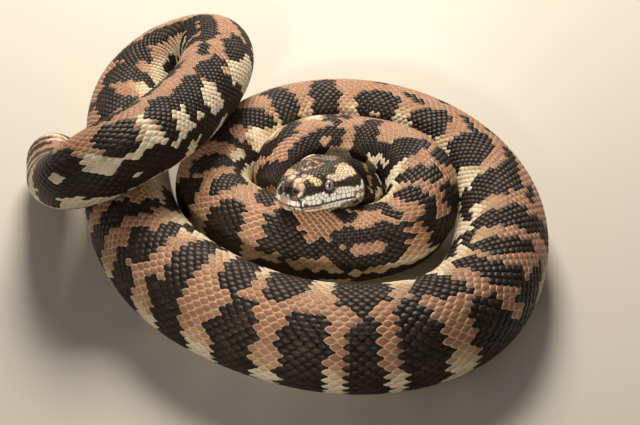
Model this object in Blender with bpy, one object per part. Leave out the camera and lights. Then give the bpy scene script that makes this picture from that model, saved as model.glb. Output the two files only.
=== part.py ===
"""Coiled carpet python, Morelia spilota: a still, life-size, museum-type model.

The body is one tube drawn along a route from the nape to the tail tip and cut
across into short lengths.  The head, lower jaw and eyes are solids of their
own.  Metres, +Z up, the belly on z = 0, the middle of the outline at x = y = 0.
"""
import bpy
import numpy as np

for old in list(bpy.data.objects):
    bpy.data.objects.remove(old, do_unlink=True)

# ------------------------------------------------------------ body dimensions
MM = 0.001
OUTLINE_CENTRE = (-24.1, 14.2)    # middle of the coiled outline in route mm
CUT = 0.3 * MM                    # gap at every cut across the body
PRESS = 0.7 * MM                  # how far a resting belly is pressed flat
WIDE = 0.515                      # half width of a lying section, in girths
TALL = 0.475                      # half height of a lying section, in girths
ROUND = 0.495                     # half size of the neck's round section
SIDES = 18                        # faces round the body
LONG_STEP = 10.0 * MM             # longest step between two rings
TURN_STEP = 0.36                  # largest turn between two rings, radians

# The route of the spine line: x, y, height of the belly over the ground and
# girth (body thickness), all in mm.
ROUTE = [
    # nape, then the neck turns down under the head
    (1, -8, 38, 26), (13, 6, 31, 25), (25, 8, 23, 23), (26, 12, 8, 22),
    (13, 15, 0, 23), (-8, 12, 1, 25),
    # hidden turn to the left, then up onto the inner loop
    (-21, 18, 5, 28), (-24, 27, 10, 32), (-19, 37, 15, 35), (0, 46, 16, 38),
    (22, 45, 14, 40), (49, 31, 18, 39),
    # inner loop: right-hand bend, near side, left-hand bend
    (59, -7, 19, 41), (50, -24, 11, 43), (21, -30, 2, 44), (-12, -28, 2, 45),
    (-43, -16, 5, 45), (-63, 15, 2, 44), (-58, 51, 0, 44),
    # outer loop: far side, right side, near side, left side
    (-33, 79, 0, 46), (6, 92, 0, 47), (48, 84, 0, 47), (85, 53, 0, 47),
    (104, 2, 0, 50), (99, -51, 0, 54), (76, -92, 0, 57), (40, -109, 0, 59),
    (1, -109, 0, 59), (-38, -95, 0, 58), (-77, -66, 0, 57), (-104, -23, 0, 53),
    (-116, 25, 0, 50), (-121, 74, 1, 48),
    # far bend at the back, then the last length lies over the coil
    (-118, 123, 1, 46), (-99, 145, 8, 45), (-78, 144, 18, 44),
    (-65, 94, 35, 44), (-75, 53, 42, 44), (-91, 17, 49, 44),
    (-110, -9, 54, 43), (-130, -16, 47, 42), (-145, -8, 36, 37),
    # the tail drops beside the coil and curls in under that last length
    (-162, 38, 11, 30), (-161, 65, 3, 23), (-153, 68, 1, 16),
    (-144, 51, 0, 10), (-152, 29, 1, 3),
]

# Where the body is cut, as lengths from the start of the route.
HEAD_END = 20.5 * MM
NECK_LENGTHS = 2
NECK_END = 88.0 * MM
TRUNK_LENGTHS = 20
VENT = 1360.0 * MM
TAIL_LENGTHS = 3
GRAVITY_FROM = 165.0 * MM         # past here every section sits belly down

# ------------------------------------------------------------ head dimensions
HEAD_TIP = np.array([-19.7, -33.7, 55.5]) * MM   # middle of the upper lip's front
HEAD_YAW = 50.0                   # degrees the snout swings toward the near side
HEAD_PITCH = 14.0                 # degrees the snout is lifted
HEAD_ROLL = 5.0                   # degrees the near side is lifted
HEAD_BACK = 57.0 * MM             # where the head's own shape has run out
MOUTH_CORNER = 38.0 * MM          # back from the snout tip
MOUTH_GAP = 0.3 * MM
BLEND_START = 42.0 * MM           # from here the head runs into the neck,
BLEND_S = 8.3 * MM                # which is this far along the route
# back from the tip, half width, height over the lip line, depth under it, mm
HEAD_PROFILE = [
    (0.0, 4.0, 6.0, 3.2), (0.5, 5.5, 7.6, 3.8), (1.5, 7.1, 9.5, 4.6),
    (4.0, 9.2, 11.9, 5.8), (9.0, 11.4, 14.1, 7.0), (14.0, 12.9, 15.3, 7.8),
    (20.0, 14.6, 15.9, 8.4), (28.0, 17.4, 16.2, 9.2), (36.0, 20.8, 15.5, 10.3),
    (43.0, 23.2, 14.3, 11.4), (50.0, 21.6, 13.2, 12.2), (57.0, 16.4, 13.2, 12.6),
]
SNOUT_SQUARE = 4.0                # superellipse power of the flat-topped snout,
CROWN_SQUARE = 2.5                # which rounds off to this one at the crown
SQUARE_FROM, SQUARE_TO = 10.0 * MM, 34.0 * MM
JAW_SQUARE = 2.4                  # superellipse power of the jaw
HEAD_STATIONS = [0.0, 0.5, 1.5, 4.0, 8.0, 12.0, 16.0, 20.0, 24.0, 28.0, 33.0, 38.0]
EYE_BACK = 22.6 * MM
EYE_SIDE = 12.2 * MM
EYE_UP = 8.85 * MM
EYE_RADIUS = 3.3 * MM
NOSTRIL_BACK = 2.6 * MM
NOSTRIL_SIDE = 5.6 * MM
NOSTRIL_UP = 9.6 * MM
NOSTRIL_RADIUS = 0.9 * MM


# ------------------------------------------------------------- shape functions
def natural_spline(knots, values):
    """Cubic through values at knots with no bend at either end.  The second
    slopes M solve h0 M0 + 2 (h0 + h1) M1 + h1 M2 = 6 (slope1 - slope0)."""
    count = len(knots)
    step = np.diff(knots)
    slope = np.diff(values, axis=0) / step[:, None]
    left = np.eye(count)
    right = np.zeros_like(values)
    inner = np.arange(1, count - 1)
    left[inner, inner - 1] = step[:-1]
    left[inner, inner] = 2.0 * (step[:-1] + step[1:])
    left[inner, inner + 1] = step[1:]
    right[inner] = 6.0 * np.diff(slope, axis=0)
    bend = np.linalg.solve(left, right)

    def at(where):
        where = np.atleast_1d(where)
        cell = np.clip(np.searchsorted(knots, where) - 1, 0, count - 2)
        a = (knots[cell + 1] - where)[:, None]
        b = (where - knots[cell])[:, None]
        h = step[cell][:, None]
        curve = (bend[cell] * a ** 3 + bend[cell + 1] * b ** 3) / (6.0 * h)
        line_a = (values[cell] / h - bend[cell] * h / 6.0) * a
        line_b = (values[cell + 1] / h - bend[cell + 1] * h / 6.0) * b
        return curve + line_a + line_b

    return at


def unit(vectors):
    """Each row divided by its length."""
    return vectors / np.linalg.norm(vectors, axis=-1, keepdims=True)


def turned(vectors, axes, angle):
    """Rows turned about unit axes: v cos + (k x v) sin + k (k.v)(1 - cos)."""
    along = np.sum(axes * vectors, axis=-1, keepdims=True)
    c = np.cos(angle)[:, None]
    s = np.sin(angle)[:, None]
    return vectors * c + np.cross(axes, vectors) * s + axes * along * (1.0 - c)


def smooth_step(t):
    """0 to 1 with level ends: t t (3 - 2 t)."""
    t = np.clip(t, 0.0, 1.0)
    return t * t * (3.0 - 2.0 * t)


# ------------------------------------------------------------------ head frame
yaw, pitch, roll = np.radians([HEAD_YAW, HEAD_PITCH, HEAD_ROLL])
head_back = np.array([np.cos(yaw) * np.cos(pitch), np.sin(yaw) * np.cos(pitch), -np.sin(pitch)])
level_left = np.array([np.sin(yaw), -np.cos(yaw), 0.0])
level_up = np.cross(level_left, head_back)
head_left = level_left * np.cos(roll) + level_up * np.sin(roll)
head_up = np.cross(head_left, head_back)
shift = np.array([-OUTLINE_CENTRE[0], -OUTLINE_CENTRE[1], 0.0]) * MM

# ----------------------------------------------------- the body's spine curve
route = np.array(ROUTE, dtype=float) * MM
route[:, 2] += TALL * route[:, 3] - PRESS
chords = np.linalg.norm(np.diff(route[:, :3], axis=0), axis=1)
route_at = natural_spline(np.concatenate([[0.0], np.cumsum(chords)]), route)
FINE = 6001
fine_u = np.linspace(0.0, chords.sum(), FINE)
fine = route_at(fine_u)
fine_s = np.concatenate([[0.0], np.cumsum(np.linalg.norm(np.diff(fine[:, :3], axis=0), axis=1))])
LENGTH = fine_s[-1]
even_s = np.linspace(0.0, LENGTH, FINE)
even = route_at(np.interp(even_s, fine_s, fine_u))
even_t = unit(np.gradient(even[:, :3], axis=0))
even_turn = np.linalg.norm(np.gradient(even_t, even_s, axis=0), axis=1)

# "Up" round the body: straight up where it lies, carried without twist along
# the neck, with one even twist so that it meets the head's own up.
even_up = np.array([0.0, 0.0, 1.0]) - even_t * even_t[:, 2:3]
free = int(np.searchsorted(even_s, GRAVITY_FROM))
even_up[free:] = unit(even_up[free:])
for k in range(free - 1, -1, -1):
    carried = even_up[k + 1] - even_t[k] * np.dot(even_up[k + 1], even_t[k])
    even_up[k] = carried / np.linalg.norm(carried)
want = head_up - even_t[0] * np.dot(head_up, even_t[0])
side = np.cross(even_t[0], even_up[0])
twist = np.arctan2(np.dot(want, side), np.dot(want, even_up[0]))
fade = 1.0 - smooth_step(even_s[:free] / GRAVITY_FROM)
even_up[:free] = turned(even_up[:free], even_t[:free], twist * fade)


def body_rings(s, sides):
    """Rings across the body at lengths s: centre + up TALL girth cos a
    + side WIDE girth sin a.  The two lowest corners are pressed level with the
    ground, which leaves a narrow flat along a resting belly."""
    centre = np.stack([np.interp(s, even_s, even[:, k]) for k in range(3)], axis=1)
    girth = np.interp(s, even_s, even[:, 3])
    ahead = unit(np.stack([np.interp(s, even_s, even_t[:, k]) for k in range(3)], axis=1))
    up = np.stack([np.interp(s, even_s, even_up[:, k]) for k in range(3)], axis=1)
    up = unit(up - ahead * np.sum(up * ahead, axis=1, keepdims=True))
    across = np.cross(ahead, up)
    lying = smooth_step((s - 0.6 * GRAVITY_FROM) / (0.8 * GRAVITY_FROM))
    tall = girth * (ROUND + (TALL - ROUND) * lying)
    wide = girth * (ROUND + (WIDE - ROUND) * lying)
    angle = (np.arange(sides) + 0.5) * 2.0 * np.pi / sides
    rise = up[:, None] * (np.cos(angle)[None, :, None] * tall[:, None, None])
    reach = across[:, None] * (np.sin(angle)[None, :, None] * wide[:, None, None])
    rings = centre[:, None] + rise + reach
    rings[..., 2] = np.maximum(rings[..., 2], 0.0)
    return rings + shift


# ------------------------------------------------------------- building solids
def material(name, colour, roughness):
    """One plain Principled material."""
    made = bpy.data.materials.new(name)
    made.use_nodes = True
    shader = made.node_tree.nodes["Principled BSDF"]
    shader.inputs["Base Color"].default_value = (*colour, 1.0)
    shader.inputs["Roughness"].default_value = roughness
    return made


def solid_from_rings(name, rings, look):
    """A closed solid: the rings joined side by side and a fan on each end."""
    rows, sides = rings.shape[:2]
    r, c = np.meshgrid(np.arange(rows - 1), np.arange(sides), indexing="ij")
    d = (c + 1) % sides
    walls = np.stack([r * sides + c, (r + 1) * sides + c, (r + 1) * sides + d, r * sides + d], axis=-1)
    start = rows * sides
    turn = np.arange(sides)
    after = (turn + 1) % sides
    first = np.stack([np.full(sides, start), turn, after], axis=-1)
    last = np.stack([np.full(sides, start + 1), start - sides + after, start - sides + turn], axis=-1)
    points = np.concatenate([rings.reshape(-1, 3), [rings[0].mean(axis=0)], [rings[-1].mean(axis=0)]])
    mesh = bpy.data.meshes.new(name)
    faces = walls.reshape(-1, 4).tolist() + first.tolist() + last.tolist()
    mesh.from_pydata(points.tolist(), [], faces)
    mesh.update()
    mesh.materials.append(look)
    made = bpy.data.objects.new(name, mesh)
    bpy.context.scene.collection.objects.link(made)
    return made


def ball(name, centre, radius, columns, rows, look):
    """A ball of columns x rows faces, its poles along the body's width."""
    lat = np.linspace(0.0, np.pi, rows + 1)[1:-1]
    lon = np.linspace(0.0, 2.0 * np.pi, columns, endpoint=False)
    lift = np.cos(lat)[:, None, None] * head_left
    flat = np.cos(lon)[None, :, None] * head_back + np.sin(lon)[None, :, None] * head_up
    rings = centre + radius * (lift + np.sin(lat)[:, None, None] * flat)
    made = solid_from_rings(name, rings, look)
    poles = np.array([centre + radius * head_left, centre - radius * head_left])
    count = len(made.data.vertices)
    made.data.vertices[count - 2].co = poles[0]
    made.data.vertices[count - 1].co = poles[1]
    return made


def facing_out(solid):
    """Turns a solid's faces over if its signed volume is below nothing."""
    mesh = solid.data
    mesh.calc_loop_triangles()
    index = np.array([t.vertices[:] for t in mesh.loop_triangles])
    point = np.array([v.co[:] for v in mesh.vertices])
    a, b, c = point[index[:, 0]], point[index[:, 1]], point[index[:, 2]]
    if np.sum(a * np.cross(b, c)) < 0.0:
        mesh.flip_normals()
    return solid


skin_look = material("trunk_skin", (0.30, 0.21, 0.13), 0.45)
neck_look = material("neck_skin", (0.33, 0.27, 0.16), 0.45)
tail_look = material("tail_skin", (0.16, 0.11, 0.075), 0.45)
head_look = material("head_skin", (0.36, 0.31, 0.22), 0.42)
jaw_look = material("jaw_skin", (0.70, 0.62, 0.48), 0.42)
eye_look = material("eye_surface", (0.33, 0.29, 0.31), 0.12)

# ---------------------------------------------------- neck, trunk and tail
# Rings are closer together where the body turns sharply.
density = np.sqrt((1.0 / LONG_STEP) ** 2 + (even_turn / TURN_STEP) ** 2)
measure = np.concatenate([[0.0], np.cumsum(0.5 * (density[1:] + density[:-1]) * np.diff(even_s))])


def body_length(name, low, high, look):
    """One length of the body, half a cut short at each end."""
    low = low + 0.5 * CUT
    high = high - 0.5 * CUT
    m_low, m_high = np.interp([low, high], even_s, measure)
    count = int(np.ceil(m_high - m_low)) + 1
    stations = np.interp(np.linspace(m_low, m_high, count), measure, even_s)
    stations[0] = low
    stations[-1] = high
    return facing_out(solid_from_rings(name, body_rings(stations, SIDES), look))


neck_cuts = np.linspace(HEAD_END, NECK_END, NECK_LENGTHS + 1)
for k in range(NECK_LENGTHS):
    body_length(f"neck_{k + 1}", neck_cuts[k], neck_cuts[k + 1], neck_look)
trunk_cuts = np.linspace(NECK_END, VENT, TRUNK_LENGTHS + 1)
for k in range(TRUNK_LENGTHS):
    body_length(f"trunk_{k + 1:02d}", trunk_cuts[k], trunk_cuts[k + 1], skin_look)
tail_cuts = np.linspace(VENT, LENGTH, TAIL_LENGTHS + 1)
tail_cuts[-1] += 0.5 * CUT
for k in range(TAIL_LENGTHS):
    body_length(f"tail_{k + 1}", tail_cuts[k], tail_cuts[k + 1], tail_look)

# ------------------------------------------------------------- head and jaw
profile = np.array(HEAD_PROFILE) * MM
profile_at = natural_spline(profile[:, 0], profile[:, 1:])


def power(value, square):
    """Signed |value| to the power 2 / square, the superellipse rule."""
    return np.sign(value) * np.abs(value) ** (2.0 / square)


def head_rings(back, sides):
    """Rings across the head: half width sin a, height or depth cos a, both
    squared off a little, about the lip line."""
    back = np.atleast_1d(back)
    width, height, depth = profile_at(back).T
    angle = (np.arange(sides) + 0.5) * 2.0 * np.pi / sides
    rounding = smooth_step((back - SQUARE_FROM) / (SQUARE_TO - SQUARE_FROM))[:, None]
    crown = SNOUT_SQUARE + (CROWN_SQUARE - SNOUT_SQUARE) * rounding
    square = np.where(np.cos(angle) >= 0.0, crown, JAW_SQUARE)
    rise = power(np.cos(angle), square)
    rise = np.where(rise >= 0.0, height[:, None] * rise, depth[:, None] * rise)
    reach = width[:, None] * power(np.sin(angle), square)
    return np.stack([np.broadcast_to(back[:, None], rise.shape), reach, rise], axis=-1)


def placed(local):
    """Head coordinates (back, left, up) to model coordinates."""
    turned_out = local[..., :1] * head_back + local[..., 1:2] * head_left + local[..., 2:3] * head_up
    return HEAD_TIP + shift + turned_out


HEAD_SIDES = 22
front = head_rings(np.array(HEAD_STATIONS) * MM, HEAD_SIDES)
front[..., 2] = np.maximum(front[..., 2], 0.5 * MOUTH_GAP)
step_t = np.linspace(0.0, 1.0, 7)
back_u = BLEND_START + step_t * (HEAD_BACK - BLEND_START)
back_s = BLEND_S + step_t * (HEAD_END - CUT - BLEND_S)
weight = smooth_step(step_t)[:, None, None]
rear = placed(head_rings(back_u, HEAD_SIDES)) * (1.0 - weight) + body_rings(back_s, HEAD_SIDES) * weight
wall = head_rings(np.array([MOUTH_CORNER + MOUTH_GAP]), HEAD_SIDES)
head = solid_from_rings("head", np.concatenate([placed(front), placed(wall), rear]), head_look)
facing_out(head)

jaw_u = np.array([1.2, 2.2, 4.0, 8.0, 14.0, 21.0, 29.0, 37.8]) * MM
jaw_local = head_rings(jaw_u, HEAD_SIDES)
lip_in = np.interp(jaw_u, [jaw_u[0], 4.0 * MM, MOUTH_CORNER], [0.80, 0.94, 0.97])
jaw_local[..., 1] *= lip_in[:, None]
jaw_local[0, :, 2] *= 0.75
jaw_local[..., 2] = np.minimum(jaw_local[..., 2], -0.5 * MOUTH_GAP)
lower_jaw = solid_from_rings("lower_jaw", placed(jaw_local), jaw_look)
facing_out(lower_jaw)

# ------------------------------------------------------------ eyes, nostrils
for side_name, way in (("left", 1.0), ("right", -1.0)):
    centre = placed(np.array([EYE_BACK, way * EYE_SIDE, EYE_UP]))
    facing_out(ball(f"eye_{side_name}", centre, EYE_RADIUS, 14, 8, eye_look))
    socket = facing_out(ball("socket_tool", centre, EYE_RADIUS + 0.3 * MM, 14, 8, head_look))
    hole = placed(np.array([NOSTRIL_BACK, way * NOSTRIL_SIDE, NOSTRIL_UP]))
    nostril = facing_out(ball("nostril_tool", hole, NOSTRIL_RADIUS, 8, 5, head_look))
    for tool in (socket, nostril):
        cut = head.modifiers.new("hollow", "BOOLEAN")
        cut.operation = "DIFFERENCE"
        cut.solver = "EXACT"
        cut.object = tool
        shaped = bpy.data.meshes.new_from_object(head.evaluated_get(bpy.context.evaluated_depsgraph_get()))
        head.modifiers.clear()
        head.data = shaped
        bpy.data.objects.remove(tool, do_unlink=True)
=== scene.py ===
"""A jungle carpet python, Morelia spilota, resting in a coil: a still, life-size
model.  One skin runs from the snout to the tail tip, and the scales, belly
scutes and head plates are solid pieces laid over it.  Metres, +Z up."""
import bpy
import numpy as np
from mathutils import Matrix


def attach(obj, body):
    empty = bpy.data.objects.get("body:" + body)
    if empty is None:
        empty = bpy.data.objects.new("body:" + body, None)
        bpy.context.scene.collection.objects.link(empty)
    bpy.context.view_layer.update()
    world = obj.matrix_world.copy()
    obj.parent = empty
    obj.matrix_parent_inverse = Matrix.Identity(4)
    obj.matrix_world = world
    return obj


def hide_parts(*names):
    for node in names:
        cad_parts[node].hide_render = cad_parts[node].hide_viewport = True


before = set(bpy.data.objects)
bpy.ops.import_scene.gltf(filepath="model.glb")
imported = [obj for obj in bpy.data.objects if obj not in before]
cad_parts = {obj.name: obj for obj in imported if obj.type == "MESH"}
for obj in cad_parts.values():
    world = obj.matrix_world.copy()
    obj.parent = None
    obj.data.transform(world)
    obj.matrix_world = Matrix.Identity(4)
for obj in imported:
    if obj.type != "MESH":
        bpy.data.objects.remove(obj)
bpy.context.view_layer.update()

# ============================================================ lie of the body
# The snake lies in a flat coil: neck, inner loop, outer loop, a far bend, and
# a last length that crosses over the coil before the tail drops beside it.
# The body is round in the neck and a little flattened where it rests.
MM = 0.001
OUTLINE_CENTRE = (-24.1, 14.2)      # middle of the coil's outline, in the route's mm
PRESS = 0.7 * MM                    # how far a resting belly is pressed flat
WIDE, TALL = 0.515, 0.475           # half width and height where it lies, in girths
ROUND = 0.495                       # half size of the round neck, in girths
GRAVITY_FROM = 165.0 * MM           # past here every section sits belly down
LYING_FROM, LYING_OVER = 0.6 * GRAVITY_FROM, 0.8 * GRAVITY_FROM   # round to flattened
# x, y, height of the belly over the ground and girth, in mm
ROUTE = [
    # nape, then the neck turns down under the head
    (1, -8, 38, 26), (13, 6, 31, 25), (25, 8, 23, 23), (26, 12, 8, 22),
    (13, 15, 0, 23), (-8, 12, 1, 25),
    # hidden turn to the left, then up onto the inner loop
    (-21, 18, 5, 28), (-24, 27, 10, 32), (-19, 37, 15, 35), (0, 46, 16, 38),
    (22, 45, 14, 40), (49, 31, 18, 39),
    # inner loop: right-hand bend, near side, left-hand bend
    (59, -7, 19, 41), (50, -24, 11, 43), (21, -30, 2, 44), (-12, -28, 2, 45),
    (-43, -16, 5, 45), (-63, 15, 2, 44), (-58, 51, 0, 44),
    # outer loop: far side, right side, near side, left side
    (-33, 79, 0, 46), (6, 92, 0, 47), (48, 84, 0, 47), (85, 53, 0, 47),
    (104, 2, 0, 50), (99, -51, 0, 54), (76, -92, 0, 57), (40, -109, 0, 59),
    (1, -109, 0, 59), (-38, -95, 0, 58), (-77, -66, 0, 57), (-104, -23, 0, 53),
    (-116, 25, 0, 50), (-121, 74, 1, 48),
    # far bend at the back, then the last length lies over the coil
    (-118, 123, 1, 46), (-99, 145, 8, 45), (-78, 144, 18, 44),
    (-65, 94, 35, 44), (-75, 53, 42, 44), (-91, 17, 49, 44),
    (-110, -9, 54, 43), (-130, -16, 47, 42), (-145, -8, 36, 37),
    # the tail drops beside the coil and curls in under that last length
    (-162, 38, 11, 30), (-161, 65, 3, 23), (-153, 68, 1, 16),
    (-144, 51, 0, 10), (-152, 29, 1, 3),
]


def natural_spline(knots, values):
    """Cubic through values at knots with no bend at either end.  The second
    slopes M solve h0 M0 + 2 (h0 + h1) M1 + h1 M2 = 6 (slope1 - slope0)."""
    count = len(knots)
    step = np.diff(knots)
    slope = np.diff(values, axis=0) / step[:, None]
    left = np.eye(count)
    right = np.zeros_like(values)
    inner = np.arange(1, count - 1)
    left[inner, inner - 1] = step[:-1]
    left[inner, inner] = 2.0 * (step[:-1] + step[1:])
    left[inner, inner + 1] = step[1:]
    right[inner] = 6.0 * np.diff(slope, axis=0)
    bend = np.linalg.solve(left, right)

    def at(where):
        where = np.asarray(where)
        cell = np.clip(np.searchsorted(knots, where) - 1, 0, count - 2)
        a = (knots[cell + 1] - where)[..., None]
        b = (where - knots[cell])[..., None]
        h = step[cell][..., None]
        curve = (bend[cell] * a ** 3 + bend[cell + 1] * b ** 3) / (6.0 * h)
        line_a = (values[cell] / h - bend[cell] * h / 6.0) * a
        line_b = (values[cell + 1] / h - bend[cell + 1] * h / 6.0) * b
        return curve + line_a + line_b

    return at


def unit(vectors):
    """Each vector divided by its length."""
    return vectors / np.maximum(np.linalg.norm(vectors, axis=-1, keepdims=True), 1e-12)


def smooth_step(t):
    """0 to 1 with level ends: t t (3 - 2 t)."""
    t = np.clip(t, 0.0, 1.0)
    return t * t * (3.0 - 2.0 * t)


def hump(x, reach):
    """1 at nothing, falling to 0 past reach: exp(-(x / reach)^2)."""
    return np.exp(-(x / reach) ** 2)


# The head's own directions: it points to the near side, snout a little up.
HEAD_TIP = np.array([-19.7, -33.7, 55.5]) * MM
yaw, pitch, roll = np.radians([50.0, 14.0, 5.0])
head_back = np.array([np.cos(yaw) * np.cos(pitch), np.sin(yaw) * np.cos(pitch), -np.sin(pitch)])
level_left = np.array([np.sin(yaw), -np.cos(yaw), 0.0])
level_up = np.cross(level_left, head_back)
head_left = level_left * np.cos(roll) + level_up * np.sin(roll)
head_up = np.cross(head_left, head_back)
shift = np.array([-OUTLINE_CENTRE[0], -OUTLINE_CENTRE[1], 0.0]) * MM

route = np.array(ROUTE, dtype=float) * MM
route[:, 2] += TALL * route[:, 3] - PRESS
chords = np.linalg.norm(np.diff(route[:, :3], axis=0), axis=1)
route_at = natural_spline(np.concatenate([[0.0], np.cumsum(chords)]), route)
FINE = 6001         # places in the tables along the route
fine_u = np.linspace(0.0, chords.sum(), FINE)
fine = route_at(fine_u)
fine_s = np.concatenate([[0.0], np.cumsum(np.linalg.norm(np.diff(fine[:, :3], axis=0), axis=1))])
LENGTH = fine_s[-1]
even_s = np.linspace(0.0, LENGTH, FINE)
even = route_at(np.interp(even_s, fine_s, fine_u))
even_t = unit(np.gradient(even[:, :3], axis=0))
even_turn = np.linalg.norm(np.gradient(even_t, even_s, axis=0), axis=1)

# "Up" round the body is straight up where it lies; along the neck it is carried
# without twist, and one even twist makes it meet the head's own up.
even_up = np.array([0.0, 0.0, 1.0]) - even_t * even_t[:, 2:3]
free = int(np.searchsorted(even_s, GRAVITY_FROM))
even_up[free:] = unit(even_up[free:])
for k in range(free - 1, -1, -1):
    even_up[k] = unit(even_up[k + 1] - even_t[k] * np.dot(even_up[k + 1], even_t[k]))
want = head_up - even_t[0] * np.dot(head_up, even_t[0])
side = np.cross(even_t[0], even_up[0])
twist = np.arctan2(np.dot(want, side), np.dot(want, even_up[0]))
angle = twist * (1.0 - smooth_step(even_s[:free] / GRAVITY_FROM))
c, s = np.cos(angle)[:, None], np.sin(angle)[:, None]
even_up[:free] = even_up[:free] * c + np.cross(even_t[:free], even_up[:free]) * s


def along(s, table):
    """The value at length s of a table kept at even steps of length."""
    table = table.reshape(FINE, -1)
    place = np.clip(s / LENGTH, 0.0, 1.0) * (FINE - 1)
    low = np.minimum(place.astype(int), FINE - 2)
    part = (place - low)[..., None]
    return table[low] * (1.0 - part) + table[low + 1] * part


def body_point(s, turn):
    """The body's outside at length s and angle turn from the top: centre
    + up TALL girth cos turn + side WIDE girth sin turn, none of it under 0."""
    centre = along(s, even[:, :3])
    girth = along(s, even[:, 3])
    ahead = unit(along(s, even_t))
    up = along(s, even_up)
    up = unit(up - ahead * np.sum(up * ahead, axis=-1, keepdims=True))
    across = np.cross(ahead, up)
    lying = smooth_step((s - LYING_FROM) / LYING_OVER)[..., None]
    rise = girth * (ROUND + (TALL - ROUND) * lying) * np.cos(turn)[..., None]
    reach = girth * (ROUND + (WIDE - ROUND) * lying) * np.sin(turn)[..., None]
    point = centre + up * rise + across * reach
    point[..., 2] = np.maximum(point[..., 2], 0.0)
    return point + shift


# =========================================================== shape of the head
# A carpet python's head is long and flat-topped, broad behind the eyes where
# the jaw muscles lie, with a squared muzzle.  All measures are back from the
# lip's front, out from the middle and up from the lip line.
HEAD_PROFILE = [    # back, half width, height over the lip line, depth under it, mm
    (0.0, 4.0, 6.0, 3.2), (0.5, 5.5, 7.6, 3.8), (1.5, 7.1, 9.5, 4.6),
    (4.0, 9.2, 11.9, 5.8), (9.0, 11.4, 14.1, 7.0), (14.0, 12.9, 15.3, 7.8),
    (20.0, 14.6, 15.9, 8.4), (28.0, 17.4, 16.2, 9.2), (36.0, 20.8, 15.5, 10.3),
    (43.0, 23.2, 14.3, 11.4), (50.0, 21.6, 13.2, 12.2), (57.0, 16.4, 13.2, 12.6),
]
SNOUT_SQUARE, CROWN_SQUARE = 4.0, 2.5           # the flat-topped snout rounds off
SQUARE_FROM, SQUARE_TO = 10.0 * MM, 34.0 * MM   # towards the crown
JAW_SQUARE = 2.4
MOUTH_CORNER = 38.0 * MM
BLEND_FROM, BLEND_TO = 42.0 * MM, 53.9 * MM     # head runs into neck, where the
HEAD_RUN, BODY_RUN = 15.0, 11.9                 # head's last mm fit so many of the neck
HEAD_TO_BODY = 33.7 * MM                        # length along the route = back - this
CAP = 4.5 * MM                                  # the snout's rounded front
CAP_BULGE = 0.9 * MM
profile = np.array(HEAD_PROFILE) * MM
PROFILE_END = profile[-1, 0]
profile_at = natural_spline(profile[:, 0], profile[:, 1:])


def head_local(back, turn):
    """The head's outside as back, left and up.  In each section the distance from
    the lip line's middle is (|sin/width|^n + |cos/height|^n)^(-1/n); the front is
    a low dome."""
    on_cap = np.clip(-back / CAP, 0.0, 1.0) * 0.5 * np.pi
    width, height, depth = np.moveaxis(profile_at(np.clip(back, 0.0, PROFILE_END)), -1, 0)
    over = np.cos(turn) >= 0.0
    tall = np.where(over, height, depth)
    rounding = smooth_step((back - SQUARE_FROM) / (SQUARE_TO - SQUARE_FROM))
    crown = SNOUT_SQUARE + (CROWN_SQUARE - SNOUT_SQUARE) * rounding
    square = np.where(over, crown, JAW_SQUARE)
    reach = np.abs(np.sin(turn) / width) ** square + np.abs(np.cos(turn) / tall) ** square
    reach = reach ** (-1.0 / square) * np.cos(on_cap)
    local_back = np.maximum(back, 0.0) - CAP_BULGE * np.sin(on_cap)
    return np.stack([local_back, reach * np.sin(turn), reach * np.cos(turn)], axis=-1)


def from_head(local):
    """Back, left and up of the head's own to the model's axes."""
    return HEAD_TIP + shift + local @ np.stack([head_back, head_left, head_up])


def head_point(back, turn):
    """The head's outside in the model's axes."""
    return from_head(head_local(back, turn))


def outside(q, turn):
    """The whole snake's outside at q back from the lip's front: the head, the
    body, and between them one run smoothly into the other."""
    q, turn = np.broadcast_arrays(np.asarray(q, dtype=float), np.asarray(turn, dtype=float))
    mix = smooth_step((q - BLEND_FROM) / (BLEND_TO - BLEND_FROM))[..., None]
    back = np.where(q > BLEND_FROM, BLEND_FROM + (q - BLEND_FROM) * HEAD_RUN / BODY_RUN, q)
    body = body_point(np.maximum(q - HEAD_TO_BODY, 0.0), turn)
    return head_point(back, turn) * (1.0 - mix) + body * mix


Q_END = LENGTH + HEAD_TO_BODY


def slopes(q, turn):
    """Steps per metre back and per radian round, by central differences."""
    dq, dt = 0.3 * MM, 0.01
    back = (outside(q + dq, turn) - outside(q - dq, turn)) / (2.0 * dq)
    round_ = (outside(q, turn + dt) - outside(q, turn - dt)) / (2.0 * dt)
    return back, round_


def outward(q, turn):
    """Unit normal: round x back, which points out of the body."""
    back, round_ = slopes(q, turn)
    return unit(np.cross(round_, back))


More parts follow.
